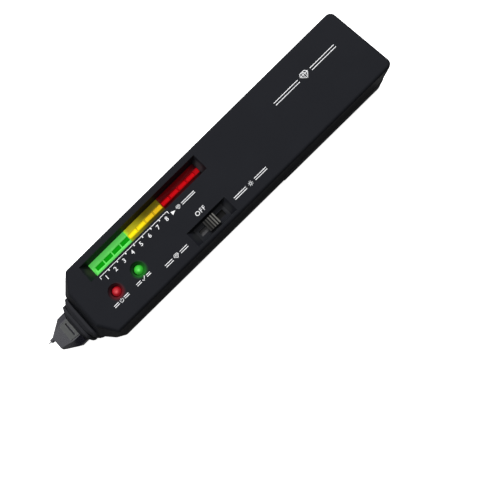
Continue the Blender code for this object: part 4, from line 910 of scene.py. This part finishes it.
def coiled_wire() -> Maker:
    """Build the tree for a coil spring along X.

    Returns:
        The tree, with the coil's radius, turns and length and the wire's radius as inputs.
    """
    maker = Maker("coiled_wire", Place="Vector", Coil="Float", Wire="Float", Turns="Float", Length="Float")
    spiral = maker.add("CurveSpiral", {
        "Resolution": 24, "Rotations": maker.size("Turns"), "Start Radius": maker.size("Coil"),
        "End Radius": maker.size("Coil"), "Height": maker.size("Length")})
    ring = maker.add("CurvePrimitiveCircle", {"Resolution": 8, "Radius": maker.size("Wire")})
    laid = maker.add("Transform", {
        "Geometry": maker.sweep(spiral.outputs[0], ring.outputs[0]), "Translation": maker.size("Place"),
        "Rotation": (0.0, math.pi / 2, 0.0)})
    maker.close(laid.outputs[0])
    return maker


ROW = row_of_blocks()
LINE = printed_line()
COIL = coiled_wire()


def poly_curve(name: str, routes: Sequence[Sequence[Point]], loop: bool) -> bpy.types.Curve:
    """Build curve data of straight splines.

    Args:
        name: The curve's name.
        routes: The points of each spline.
        loop: Whether the first spline runs back to its start.

    Returns:
        The curve.
    """
    curve = bpy.data.curves.new(name, "CURVE")
    curve.dimensions, curve.twist_mode = "3D", "Z_UP"
    for route in routes:
        spline = curve.splines.new("POLY")
        spline.points.add(len(route) - 1)
        for point, place in zip(spline.points, route):
            point.co = (*place, 1.0)
    curve.splines[0].use_cyclic_u = loop
    return curve


# The pieces

@dataclass(frozen=True)
class Stretch:
    """A second body that a piece reaches to, from one place to another; settle reads only whether one is
    given.
    """

    body: Body
    start: Point
    end: Point


def settle(name: str, mesh: Mesh, material: Material, nodes: Sequence[str] = (),
           body: Body = Body.HOUSING, stretch: Stretch | None = None) -> Thing:
    """Finish one piece: give it its material, hang it on its body unless it stretches, and hide the CAD nodes
    that it stands for.

    Args:
        name: The piece's name.
        mesh: Its mesh, already in place.
        material: Its only material.
        nodes: CAD nodes that it replaces.
        body: The body that it rides on.
        stretch: The second body that it reaches to, or none for a rigid piece; a stretching piece is only
            moved into world space, and the stretch's values are not used.

    Returns:
        The piece.
    """
    mesh.materials.clear()
    mesh.materials.append(material)
    piece = add_object(name, mesh)
    if stretch:
        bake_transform(piece)
    else:
        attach(piece, body.value)
    if nodes:
        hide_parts(*nodes)
    LOG.info("%s rides on %s, %d faces", name, body.value, len(mesh.polygons))
    return piece


def dress(node: str, finish: Finish, rounding: float = 0.0, body: Body = Body.HOUSING) -> Thing:
    """Dress one CAD node that keeps its shape, and return the piece that stands for it."""
    return settle("fine_" + node, softened(node, rounding), finish.make(), [node], body)


@dataclass
class Casing:
    """The two halves of the casing and the battery door."""

    rounding: float = 0.00012
    screw_rounding: float = 0.00006
    # Place and size of the painted lamp light on the dishes and of the painted light on the shaded end walls
    dish_shift: Flat = (0.35, -0.00045)
    dish_depth: float = 0.0006
    dish_inner: float = 0.0014
    dish_outer: float = 0.0038
    display_y: float = 0.00895
    switch_y: float = -0.01035
    wall_drop: float = 0.0032
    wall_inner: float = 0.0012
    wall_outer: float = 0.0034

    def painted_light_spots(self) -> tuple[Spot, ...]:
        """Place painted light round the two lamps and on the shaded end walls of the display and the switch
        pocket.

        Returns:
            The painted light of the two dishes and of the four walls.
        """
        (shift_x, shift_y), sunk = self.dish_shift, FACE_Z - self.wall_drop
        dishes = ((POWER_X, (0.135, 0.014, 0.020)), (READY_X, (0.014, 0.170, 0.016)))
        walls = ((33.6, self.display_y, (0.020, 0.026, 0.016)), (91.7, self.display_y, (0.046, 0.040, 0.044)),
                 (71.4, self.switch_y, (0.015, 0.016, 0.017)), (88.8, self.switch_y, (0.024, 0.025, 0.027)))
        level = FACE_Z - self.dish_depth
        return (*(Spot(colour, tuple(from_tip(x + shift_x, LAMP_Y + shift_y, level)), self.dish_inner,
                       self.dish_outer) for x, colour in dishes),
                *(Spot(colour, tuple(from_tip(x, y, sunk)), self.wall_inner, self.wall_outer)
                  for x, y, colour in walls))

    def build(self) -> None:
        """Build both halves, the door and the case screws."""
        # The face colour carries painted light round the lamps and on the shaded end walls
        face = Plastic("charcoal_plastic", (0.0085, 0.0092, 0.0122), (0.0110, 0.0119, 0.0152),
                       rough=(0.41, 0.59), specular=0.14, tones=self.painted_light_spots())
        back = Plastic("back_plastic", (0.0070, 0.0073, 0.0095), (0.0092, 0.0096, 0.0122),
                       rough=(0.33, 0.51), specular=0.34)
        door = Plastic("door_plastic", (0.0072, 0.0075, 0.0097), (0.0094, 0.0098, 0.0124),
                       rough=(0.33, 0.51), specular=0.34)
        dress("front_shell", face, self.rounding)
        dress("rear_shell", back, self.rounding)
        dress("battery_door", door, self.rounding, Body.DOOR)
        steel = Metal("case_screw_steel", (0.62, 0.62, 0.60), (0.36, 0.36, 0.35), rough=(0.24, 0.44),
                      axis=Axis.UPRIGHT)
        for node in ("case_screw_front", "case_screw_rear"):
            dress(node, steel, self.screw_rounding)


@dataclass
class Nose:
    """The grey nose, its plate and collar, and the probe and lamp inside."""

    shroud_rounding: float = 0.00012
    plate_rounding: float = 0.00008
    collar_rounding: float = 0.00010
    probe_rounding: float = 0.00006
    spring_turns: float = 7.0
    spring_radius: float = 0.00072
    wire_radius: float = 0.00014

    def build(self) -> None:
        """Build the nose from its tip to the collar."""
        grey = Plastic("nose_plastic", (0.010, 0.010, 0.018), (0.018, 0.018, 0.028), rough=(0.20, 0.32),
                       wear=0.10, wear_colour=(0.30, 0.30, 0.31), specular=1.0, coat=1.0)
        light = Plastic("plate_plastic", (0.052, 0.055, 0.054), (0.072, 0.075, 0.074), rough=(0.29, 0.47),
                        wear_colour=(0.40, 0.40, 0.40), specular=0.6)
        rubber = Plastic("collar_rubber", (0.0165, 0.0170, 0.0205), (0.0220, 0.0226, 0.0265),
                         rough=(0.46, 0.64), wear_colour=(0.045, 0.045, 0.050), specular=0.18)
        dress("nose_shroud", grey, self.shroud_rounding)
        dress("nose_plate", light, self.plate_rounding)
        dress("nose_collar", rubber, self.collar_rounding)
        steel = Metal("needle_steel", (0.66, 0.66, 0.67), (0.42, 0.42, 0.44), rough=(0.18, 0.38))
        dress("probe_needle", steel, body=Body.PROBE)
        brass = Metal("barrel_brass", (0.70, 0.52, 0.24), (0.44, 0.31, 0.13))
        dress("probe_barrel", brass, self.probe_rounding)
        nylon = Plastic("plug_nylon", (0.55, 0.53, 0.47), (0.62, 0.60, 0.54), wear=0.1, specular=0.4)
        dress("probe_plug", nylon, self.probe_rounding)
        violet = Lens("uv_lens", (0.10, 0.06, 0.20), (0.10, 0.06, 0.20), body=(0.26, 0.18, 0.46),
                      core=(0.60, 0.55, 0.80), centre=tuple(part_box("uv_lamp")[0]), glow=0.1)
        dress("uv_lamp", violet)
        self.spring()

    def spring(self) -> Thing:
        """Build the needle's spring, which reaches from the housing to the probe.

        Returns:
            The spring.
        """
        low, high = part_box("probe_spring")
        wire = Metal("spring_steel", (0.58, 0.58, 0.60), (0.36, 0.36, 0.38), rough=(0.20, 0.40)).make()
        place = (low.x + self.wire_radius, (low.y + high.y) / 2, (low.z + high.z) / 2)
        mesh = COIL.run("needle_spring", Place=place, Coil=self.spring_radius, Wire=self.wire_radius,
                        Turns=self.spring_turns, Length=high.x - low.x - 2 * self.wire_radius, Material=wire)
        pressed = Stretch(Body.PROBE, tuple(high), (low.x, high.y, high.z))
        return settle("needle_spring", smooth(mesh), wire, ["probe_spring"], stretch=pressed)


class BarColour(Enum):
    """The three coloured bars of the display, from the nose end."""

    GREEN = "green"
    YELLOW = "yellow"
    RED = "red"


@dataclass
class Display:
    """The bar display: three coloured bars with four lit windows each."""

    line_y: float = 0.00845
    pitch: float = 0.00438
    windows: int = 4
    corner: float = 0.00012
    window_inner: float = 0.0002
    window_outer: float = 0.0009
    led_rounding: float = 0.00005

    def lit(self, name: str, edge: Colour, middle: Colour, **looks: Any) -> Window:
        """Describe lit plastic along the display's line, as narrow as a window if nothing else is said.

        Args:
            name: The finish's name.
            edge: Its tone along the edges.
            middle: Its tone along the middle line.
            looks: Its other values.

        Returns:
            The finish.
        """
        spans = {"inner": self.window_inner, "outer": self.window_outer}
        return Window(name, edge, edge, middle=middle, line_y=self.line_y, **(spans | looks))

    def finishes(self, colour: BarColour) -> tuple[Window, Window]:
        """Choose the finishes of one coloured bar and of its windows.

        Args:
            colour: The bar.

        Returns:
            The finish of the bar and that of its windows.
        """
        # The painted tilt darkens each bar's -Y side, painted shade, and brightens its +Y side in the recess
        # wall's shadow, painted light
        front, rear = (corner.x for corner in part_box("bar_" + colour.value))
        if colour is BarColour.GREEN:
            return (self.lit("bar_green", (0.095, 0.52, 0.090), (0.095, 0.56, 0.085), inner=0.0006,
                             outer=0.0016, glow=0.42, tilt=(0.97, 1.35)),
                    self.lit("window_green", (0.000, 0.17, 0.000), (0.000, 0.19, 0.001), glow=0.60))
        if colour is BarColour.YELLOW:
            ends = (Fade((0.075, 0.060, 0.003), "X", front + 0.0020, rear - 0.0060),
                    Fade((0.32, 0.50, 0.02), "X", front + 0.0016, front))
            middle_end = Fade((0.42, 0.27, 0.008), "X", front + 0.0030, rear - 0.0030)
            pane_end = Fade((0.48, 0.30, 0.006), "X", front + 0.0030, rear - 0.0030)
            return (self.lit("bar_yellow", (0.30, 0.275, 0.010), (0.56, 0.46, 0.006), inner=0.0008,
                             outer=0.0012, glow=0.38, tilt=(0.48, 1.90), ends=ends,
                             middle_ends=(middle_end,)),
                    self.lit("window_yellow", (0.56, 0.43, 0.003), (0.70, 0.58, 0.004), glow=0.50,
                             ends=(pane_end,), middle_ends=(pane_end,)))
        ends = (Fade((0.060, 0.004, 0.004), "X", front + 0.0012, front),
                Fade((0.012, 0.001, 0.002), "X", rear - 0.0030, rear))
        return (self.lit("bar_red", (0.052, 0.0004, 0.0012), (0.31, 0.0006, 0.003), inner=0.0008,
                         outer=0.0012, glow=0.30, tilt=(0.40, 1.85), ends=ends),
                self.lit("window_red", (0.27, 0.0004, 0.002), (0.38, 0.0006, 0.003), glow=0.42))

    def build(self) -> None:
        """Build the bars, their windows and the emitters under them."""
        for colour in BarColour:
            name = colour.value
            bar, panes = self.finishes(colour)
            dress("bar_" + name, bar)
            nodes = ["segment_%s_%d" % (name, step + 1) for step in range(self.windows)]
            low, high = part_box(nodes[0])
            material = panes.make()
            start = ((low.x + high.x) / 2, (low.y + high.y) / 2, low.z)
            draft = add_object("crown_draft", ROW.run(
                "windows_" + name, Count=self.windows, Start=start, Step=(self.pitch, 0.0, 0.0),
                Length=high.x - low.x, Width=high.y - low.y, Height=high.z - low.z, Corner=self.corner,
                Material=material))
            round_edges(draft, self.corner, CROWN_FACETS)
            settle("windows_" + name, smooth(baked(draft)), material, nodes)
        white = Plastic("emitter_white", (0.60, 0.60, 0.56), (0.70, 0.70, 0.66), wear=0.1, specular=0.4)
        dress("display_leds", white, self.led_rounding)


@dataclass
class FaceLamps:
    """The red and green round lamps in their dishes."""

    radius: float = 0.0019
    drop: float = 0.0002
    flange_radius: float = 0.0024
    flange_thickness: float = 0.0008
    spacer_radius: float = 0.0015
    spacer_height: float = 0.0017
    steps: int = 12
    glow_radius: float = 0.0031
    heart_shift: Flat = (0.0001, -0.0004)

    def profile(self, low: float) -> list[Flat]:
        """List the points of the lens profile.

        Args:
            low: The height of the lens's foot.

        Returns:
            Radius and level of each point, from the crown of the dome to the foot.
        """
        top = FACE_Z - self.drop
        flange_low = low + self.spacer_height
        flange_top = flange_low + self.flange_thickness
        angles = [math.pi / 2 * step / self.steps for step in range(self.steps + 1)]
        dome = [(self.radius * math.sin(angle), top - self.radius * (1 - math.cos(angle)))
                for angle in angles]
        return dome + [(self.radius, flange_top), (self.flange_radius, flange_top),
                       (self.flange_radius, flange_low), (self.spacer_radius, flange_low),
                       (self.spacer_radius, low), (0.0, low)]

    def build(self) -> None:
        """Build both lamps."""
        looks = {
            "power_lamp": (POWER_X, "lamp_red", (0.105, 0.0030, 0.005), (0.29, 0.006, 0.012),
                           (0.50, 0.05, 0.06)),
            "ready_lamp": (READY_X, "lamp_green", (0.012, 0.155, 0.014), (0.030, 0.34, 0.026),
                           (0.10, 0.58, 0.085)),
        }
        for node, (x, slot, rim, body, core) in looks.items():
            place = from_tip(x, LAMP_Y)
            heart = (place.x + self.heart_shift[0], place.y + self.heart_shift[1], FACE_Z - self.drop)
            lens = Lens(slot, rim, rim, body=body, core=core, centre=heart, radius=self.glow_radius)
            mesh = turned("fine_" + node, self.profile(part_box(node)[0].z), place)
            settle("fine_" + node, mesh, lens.make(), [node])


@dataclass
class SlideSwitch:
    """The ribbed slide knob in its pocket, and the switch under it."""

    rounding: float = 0.00012
    tin_rounding: float = 0.00008
    # Where the painted light on the knob's front fades in, along X
    front: Flat = (-0.0062, -0.0066)
    rib_highlight_span: Flat = (-0.0060, -0.0022)
    front_rib_highlight: float = 0.12
    highlight_depth: float = 0.0002

    def build(self) -> None:
        """Build the knob, with painted light on its front and a painted highlight on its rib crests, and the
        switch housing.
        """
        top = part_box("switch_knob")[1].z
        # Painted light on the knob's front, and a painted highlight along the rib crests that is fainter on
        # the front rib
        tones = (Fade((0.070, 0.070, 0.073), "X", *self.front),
                 Crest((0.125, 0.123, 0.113), "Z", top - self.highlight_depth, top, self.rib_highlight_span, self.front_rib_highlight))
        knob = Finish("knob_plastic", (0.004, 0.004, 0.004), (0.007, 0.007, 0.0065), tones=tones,
                      specular=0.2)
        dress("switch_knob", knob, self.rounding, Body.SWITCH)
        tin = Metal("switch_tin", (0.60, 0.60, 0.58), (0.40, 0.40, 0.39), rough=(0.26, 0.46))
        dress("switch_body", tin, self.tin_rounding)


@dataclass
class Insides:
    """The board, what it carries, the battery and the wires."""

    board_screws: int = 3
    screw_rounding: float = 0.00006
    small_rounding: float = 0.00008
    middle_rounding: float = 0.0001
    battery_rounding: float = 0.0002
    pad_rounding: float = 0.0003
    cap_height: float = 0.0003
    jacket_length: float = 0.0135
    tint_gain: float = 1.35
    tint_lift: float = 0.005

    def build(self) -> None:
        """Build everything inside the casing."""
        dress("main_board", Laminate(
            "board_green", (0.010, 0.075, 0.030), (0.014, 0.090, 0.040), track=(0.030, 0.150, 0.055)))
        chip = Plastic("chip_black", (0.010, 0.010, 0.011), (0.018, 0.018, 0.019), wear=0.3, specular=0.4)
        dress("control_chip", chip, self.small_rounding)
        steel = Metal("board_screw_steel", (0.60, 0.60, 0.58), (0.38, 0.38, 0.37), axis=Axis.UPRIGHT)
        for index in range(self.board_screws):
            dress("board_screw_%d" % (index + 1), steel, self.screw_rounding)
        for node in ("capacitor_front", "capacitor_rear"):
            sleeve = Sleeve("capacitor_sleeve", (0.012, 0.014, 0.045), (0.012, 0.014, 0.045), axis="Z",
                            beyond=(0.50, 0.50, 0.52), border=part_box(node)[1].z - self.cap_height)
            dress(node, sleeve, self.small_rounding)
        black = Plastic("sounder_black", (0.008, 0.008, 0.009), (0.014, 0.014, 0.015), specular=0.35)
        dress("sounder", black, self.middle_rounding)
        self.battery()
        self.wires()

    def battery(self) -> None:
        """Build the battery, its studs, its snap connector and its pad."""
        label = Sleeve("battery_label", (0.42, 0.22, 0.055), (0.42, 0.22, 0.055), axis="X",
                       beyond=(0.014, 0.014, 0.016), border=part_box("battery")[0].x + self.jacket_length)
        dress("battery", label, self.battery_rounding)
        nickel = Metal("contact_nickel", (0.66, 0.64, 0.60), (0.46, 0.44, 0.41), rough=(0.20, 0.40))
        for node in ("contact_round", "contact_hex"):
            dress(node, nickel, self.middle_rounding)
        vinyl = Plastic("snap_vinyl", (0.010, 0.010, 0.010), (0.018, 0.018, 0.018), rough=(0.29, 0.47),
                        specular=0.45)
        dress("battery_snap", vinyl, self.battery_rounding)
        foam = Plastic("pad_foam", (0.030, 0.030, 0.032), (0.055, 0.055, 0.058), rough=(0.76, 0.94),
                       grain=1600.0, depth=0.00015, wear=0.0, specular=0.2)
        dress("battery_pad", foam, self.pad_rounding)

    def wires(self) -> None:
        """Dress the leads of the battery, the probe and the violet lamp."""
        cream, violet = (0.42, 0.40, 0.36), (0.20, 0.05, 0.30)
        tones = {
            "battery_lead_red": ("battery_red_wire", (0.38, 0.008, 0.008)),
            "battery_lead_black": ("battery_black_wire", (0.012, 0.012, 0.012)),
            "probe_lead_1": ("probe_wire", cream),
            "probe_lead_2": ("probe_wire", cream),
            "uv_lead_1": ("uv_wire", violet),
            "uv_lead_2": ("uv_wire", violet),
        }
        for node, (slot, colour) in tones.items():
            tint = tuple(part * self.tint_gain + self.tint_lift for part in colour)
            dress(node, Plastic(slot, colour, tint, rough=(0.31, 0.49), wear=0.1, specular=0.45))


@dataclass
class Print:
    """The white print on the face: scale, numbers, OFF and plain signs.

    The parts of a gem and of a sun are shares of their height, but for a gem's table and facet,
    which are shares of the half width and of the table.
    """

    lift: float = 0.00003
    sink: float = 0.00001
    line: float = 0.00030
    fine_line: float = 0.0002
    scale_y: float = 0.00428
    scale_start: float = 35.98
    scale_pitch: float = 4.377
    divisions: int = 8
    long_tick: float = 0.00105
    short_tick: float = 0.00075
    tick_width: float = 0.00045
    tick_corner: float = 0.00004
    number_start: float = 38.05
    number_pitch: float = 4.43
    number_y: float = 0.00235
    number_height: float = 0.00175
    off_place: Flat = (79.95, -0.00445)
    arrow_x: float = 71.75
    arrow_length: float = 0.0018
    arrow_half: float = 0.00075
    lamp_signs_y: float = -0.00778
    lamp_rule: float = 0.0014
    mode_signs_y: float = -0.01030
    mode_sign_height: float = 0.00185
    mode_rule: float = 0.0016
    title_y: float = 0.00448
    title_gem_height: float = 0.0031
    title_gem_line: float = 0.00032
    title_rule: float = 0.0022
    scale_gem_height: float = 0.0016
    scale_gem_line: float = 0.00016
    ring_radius: float = 0.0007
    ring_start: float = 125.0
    ring_step: float = 14.5
    ring_points: int = 21
    gem_half: float = 0.62
    gem_waist: float = 0.16
    gem_table: float = 0.55
    gem_facet: float = 0.62
    sun_disc: float = 0.22
    sun_rays: Flat = (0.36, 0.54)
    disc_points: int = 16
    rays: int = 8

    def build(self) -> None:
        """Print every mark."""
        self.ink = Finish("white_print", (0.90, 0.90, 0.91), (0.72, 0.73, 0.75), grain=5000.0, drift=300.0,
                          rough=(0.45, 0.65), depth=0.000004).make()
        self.scale()
        for index in range(self.divisions):
            place = from_tip(self.number_start + index * self.number_pitch, self.number_y)
            self.text("number_%d" % (index + 1), str(index + 1), place)
        self.text("off_word", "OFF", from_tip(*self.off_place), spread=1.14, bold=0.002)
        self.arrow()
        self.signs()

    def keep(self, name: str, mesh: Mesh) -> Thing:
        """Keep one printed mark as a piece of the face."""
        return settle(name, mesh, self.ink)

    def text(self, name: str, words: str, centre: Vector, spread: float = 1.0, bold: float = 0.008) -> None:
        """Print plain characters around a centre.

        Args:
            name: The piece's name.
            words: The characters.
            centre: The middle of the print, on the face.
            spread: The spacing of the characters.
            bold: How much the strokes are thickened.
        """
        curve = bpy.data.curves.new(name, "FONT")
        curve.body, curve.space_character, curve.offset = words, spread, bold
        curve.extrude, curve.resolution_u = 0.02, 6
        mesh = baked(add_object(name + "_draft", curve))
        low, high = (Vector([pick(vertex.co[axis] for vertex in mesh.vertices) for axis in range(3)])
                     for pick in (min, max))
        size = self.number_height / (high.y - low.y)
        thick = (self.lift + self.sink) / (high.z - low.z)
        place = Matrix.Translation((centre.x, centre.y, FACE_Z + (self.lift - self.sink) / 2))
        to_middle = Matrix.Translation(-(low + high) / 2)
        mesh.transform(place @ Matrix.Diagonal((size, size, thick, 1.0)) @ to_middle)
        self.keep(name, as_mesh(opened(mesh), name))

    def strokes(self, name: str, routes: Sequence[Sequence[Flat]], width: float, loop: bool = False) -> None:
        """Print lines of one width.

        Args:
            name: The piece's name.
            routes: The points of each line, in metres on the face.
            width: The width of the lines.
            loop: Whether the first line runs back to its start.
        """
        level = FACE_Z + (self.lift - self.sink) / 2
        curve = poly_curve(name, [[(x, y, level) for x, y in route] for route in routes], loop)
        mesh = LINE.run(name, curve, Width=width, Thickness=self.lift + self.sink, Material=self.ink)
        self.keep(name, as_mesh(opened(mesh), name))

    def scale(self) -> None:
        """Print the scale's line with its nine ticks."""
        start, pitch = from_tip(self.scale_start).x, self.scale_pitch * MILLIMETRE
        end = start + self.divisions * pitch
        self.strokes("scale_line", [[(start, self.scale_y - self.long_tick), (start, self.scale_y),
                                     (end, self.scale_y), (end, self.scale_y - self.long_tick)]], self.line)
        first = (start + pitch, self.scale_y - self.short_tick / 2, FACE_Z - self.sink)
        self.keep("scale_ticks", ROW.run(
            "scale_ticks", Count=self.divisions - 1, Start=first, Step=(pitch, 0.0, 0.0),
            Length=self.tick_width, Width=self.short_tick, Height=self.lift + self.sink,
            Corner=self.tick_corner, Material=self.ink))

    def arrow(self) -> None:
        """Print the solid arrow at the end of the scale."""
        root = from_tip(self.arrow_x, self.number_y)
        outline = [(root.x, root.y - self.arrow_half), (root.x + self.arrow_length, root.y),
                   (root.x, root.y + self.arrow_half)]
        self.keep("scale_arrow", plate("scale_arrow", outline, FACE_Z - self.sink, FACE_Z + self.lift))

    def gem(self, name: str, centre: Vector, height: float, width: float) -> None:
        """Print a plain cut stone seen from its side.

        Args:
            name: The piece's name.
            centre: Its middle.
            height: Its height.
            width: The width of its lines.
        """
        half, top, waist = height * self.gem_half, height / 2, height * self.gem_waist
        table = half * self.gem_table
        inner = table * self.gem_facet
        routes = [[(-table, top), (table, top), (half, waist), (0.0, -top), (-half, waist)],
                  [(-half, waist), (half, waist)], [(-inner, waist), (0.0, -top), (inner, waist)],
                  [(-inner, waist), (0.0, top), (inner, waist)]]
        placed = [[(centre.x + x, centre.y + y) for x, y in route] for route in routes]
        self.strokes(name, placed, width, loop=True)

    def rules(self, name: str, start: float, end: float, y: float, height: float) -> None:
        """Print two plain rules between two places along the tester.

        Args:
            name: The piece's name.
            start: Where both start, in millimetres behind the tip.
            end: Where both end.
            y: Their middle across the face.
            height: Twice the distance between them.
        """
        routes = [[tuple(from_tip(x, y + level)[:2]) for x in (start, end)]
                  for level in (-height / 4, height / 4)]
        self.strokes(name, routes, self.line)

    def flank(self, name: str, y: float, height: float, front: Flat, rear: Flat) -> None:
        """Print the rules before and behind one sign.

        Args:
            name: The name that their own start with.
            y: Their place across the face.
            height: Their height.
            front: Where those before the sign start and end.
            rear: Where those behind it start and end.
        """
        self.rules(name + "_rule_front", *front, y, height)
        self.rules(name + "_rule_rear", *rear, y, height)

    def signs(self) -> None:
        """Print plain signs and rules where the face carries words."""
        lamps, modes, title = self.lamp_signs_y, self.mode_signs_y, self.title_y
        power = from_tip(36.35, lamps)
        ring = [around(power, self.ring_radius, self.ring_start + self.ring_step * step)
                for step in range(self.ring_points)]
        stroke = [(power.x, power.y + 0.0001), (power.x, power.y + 0.00085)]
        self.strokes("power_sign", [ring, stroke], self.fine_line)
        self.flank("power", lamps, self.lamp_rule, (32.7, 35.0), (37.7, 40.0))
        ready = from_tip(47.7, lamps)
        tick = [(ready.x - 0.0008, ready.y), (ready.x - 0.00025, ready.y - 0.0006),
                (ready.x + 0.0009, ready.y + 0.0008)]
        self.strokes("ready_sign", [tick], self.line)
        self.flank("ready", lamps, self.lamp_rule, (44.1, 46.3), (49.1, 51.1))
        self.gem("scale_gem", from_tip(75.2, self.number_y), self.scale_gem_height, self.scale_gem_line)
        self.rules("scale_rule", 77.0, 83.5, self.number_y, self.lamp_rule)
        self.gem("stone_mode_gem", from_tip(62.2, modes), self.mode_sign_height, self.fine_line)
        self.flank("stone_mode", modes, self.mode_rule, (56.6, 60.3), (64.1, 67.8))
        self.sun("lamp_mode_sign", from_tip(100.15, modes), self.mode_sign_height)
        self.flank("lamp_mode", modes, self.mode_rule, (92.0, 98.0), (102.3, 108.3))
        self.gem("title_gem", from_tip(143.05, title), self.title_gem_height, self.title_gem_line)
        self.flank("title", title, self.title_rule, (127.5, 139.9), (146.2, 158.6))

    def sun(self, name: str, centre: Vector, height: float) -> None:
        """Print a plain sign of a lamp with rays.

        Args:
            name: The piece's name.
            centre: Its middle.
            height: The size that its parts are shares of.
        """
        disc = [around(centre, height * self.sun_disc, 360.0 / self.disc_points * step)
                for step in range(self.disc_points)]
        spokes = [[around(centre, height * reach, 360.0 / self.rays * step) for reach in self.sun_rays]
                  for step in range(self.rays)]
        self.strokes(name, [disc] + spokes, self.fine_line, loop=True)


# Studio

@dataclass(frozen=True)
class Viewpoint:
    """The photograph's view of the face."""

    middle: Point = (-0.010315, -0.00151, 0.0215)
    towards: Point = (0.0059, -0.2086, 0.978)
    distance: float = 0.19626
    turn: float = 44.5
    lens: float = 39.16
    sensor: float = 36.0
    shift: Flat = (0.1257, -0.0548)
    clip: float = 0.005

    def make(self) -> Thing:
        """Place the camera.

        Returns:
            The camera, made the scene's own.
        """
        back = Vector(self.towards).normalized()
        along = (Vector((1, 0, 0)) - back * back.x).normalized()
        down = along.cross(back).normalized()
        if down.y > 0:
            down.negate()
        angle = math.radians(self.turn)
        right = along * math.cos(angle) + down * math.sin(angle)
        up = along * math.sin(angle) - down * math.cos(angle)
        camera = bpy.data.cameras.new("photo_camera")
        camera.lens, camera.sensor_width, camera.clip_start = self.lens, self.sensor, self.clip
        camera.shift_x, camera.shift_y = self.shift
        thing = add_object("photo_camera", camera)
        turn = Matrix((right, up, back)).transposed().to_4x4()
        thing.matrix_world = Matrix.Translation(Vector(self.middle) + back * self.distance) @ turn
        bpy.context.scene.camera = thing
        return thing


@dataclass
class Studio:
    """The pale floor, the even light of the room and the soft lamp."""

    floor_half: float = 1.5
    depth: float = -0.00005
    paper: Colour = (0.93, 0.93, 0.93)
    paper_tint: Colour = (0.91, 0.91, 0.91)
    paper_grain: float = 400.0
    paper_drift: float = 45.0
    paper_roughness: float = 0.9
    paper_specular: float = 0.1
    floor_glow: float = 0.90
    floor_return: Colour = (0.16, 0.16, 0.16)
    floor_mirror: float = 0.01
    room_light: float = 0.80
    dark_side: float = 0.015
    bright_way: Point = (0.0, 0.52, 0.854)
    bright_span: Flat = (-0.15, 0.92)
    horizon: Flat = (0.0, 0.6)
    horizon_light: float = 0.22
    backdrop: float = 1.0
    lamp_place: Point = (0.20, 0.70, 0.90)
    lamp_size: float = 0.26
    lamp_power: float = 13.0

    def build(self) -> None:
        """Set up the floor and the light."""
        shape = bmesh.new()
        bmesh.ops.create_grid(shape, x_segments=1, y_segments=1, size=self.floor_half)
        bmesh.ops.translate(shape, verts=shape.verts, vec=(0.0, 0.0, self.depth))
        floor = add_object("floor", as_mesh(shape, "floor"))
        floor.data.materials.append(self.floor_finish())
        bpy.context.scene.world = self.room()
        bpy.context.scene.view_settings.view_transform = "Standard"
        self.lamp()

    def lamp(self) -> None:
        """Hang the soft lamp, turned to the middle of the tester and hidden from reflections."""
        lamp = bpy.data.lights.new("upper_box", "AREA")
        lamp.shape, lamp.size, lamp.energy = "SQUARE", self.lamp_size, self.lamp_power
        thing = add_object("upper_box", lamp)
        thing.location = self.lamp_place
        thing.rotation_euler = (-Vector(self.lamp_place)).to_track_quat("-Z", "Y").to_euler()
        thing.visible_glossy = False

    def floor_finish(self) -> Material:
        """Build the white paper, lit from below, which gives little light back to the tester.

        Returns:
            The material.
        """
        paint = Painter("paper_white")
        grain = paint.use(GRAIN, Colour=self.paper, Tint=self.paper_tint, Grain=self.paper_grain,
                          Drift=self.paper_drift)
        path = paint.add("LightPath").outputs
        mirrored = paint.math("MULTIPLY", path["Is Glossy Ray"], self.floor_mirror)
        lit = paint.math("MAXIMUM", path["Is Camera Ray"], mirrored)
        paint.set(Base_Color=paint.mix(path["Is Camera Ray"], self.floor_return, grain["Colour"]),
                  Emission_Color=paint.mix(lit, (0.0, 0.0, 0.0), grain["Colour"]),
                  Emission_Strength=self.floor_glow, Roughness=self.paper_roughness,
                  Specular_IOR_Level=self.paper_specular)
        return paint.material

    def room(self) -> bpy.types.World:
        """Build the even light of the room, weaker on the side away from the lamp.

        Returns:
            The world.
        """
        world = bpy.data.worlds.new("studio")
        world.use_nodes = True
        tree = Tree(world.node_tree)
        ray = tree.add("TexCoord").outputs["Generated"]
        towards = tree.vector_math("DOT_PRODUCT", ray, self.bright_way, output="Value")
        light = tree.ramp(towards, *self.bright_span, self.dark_side, self.room_light)
        height = tree.add("SeparateXYZ", {0: ray}).outputs["Z"]
        light = tree.math("MULTIPLY", light, tree.ramp(height, *self.horizon, self.horizon_light, 1.0))
        seen = tree.add("LightPath").outputs["Is Camera Ray"]
        light = tree.math("MAXIMUM", light, tree.math("MULTIPLY", seen, self.backdrop))
        glow = tree.add("Background", {"Color": (1.0, 1.0, 1.0), "Strength": light})
        tree.add("OutputWorld", {"Surface": glow.outputs[0]})
        return world


def main() -> None:
    """Build the tester's looks, piece by piece, and the studio around it."""
    logging.basicConfig(level=logging.INFO, format="%(message)s")
    Viewpoint().make()
    for assembly in (Casing(), Nose(), Display(), FaceLamps(), SlideSwitch(), Insides(), Print()):
        LOG.info("building %s", type(assembly).__name__)
        assembly.build()
    Studio().build()


if __name__ == "__main__":
    main()
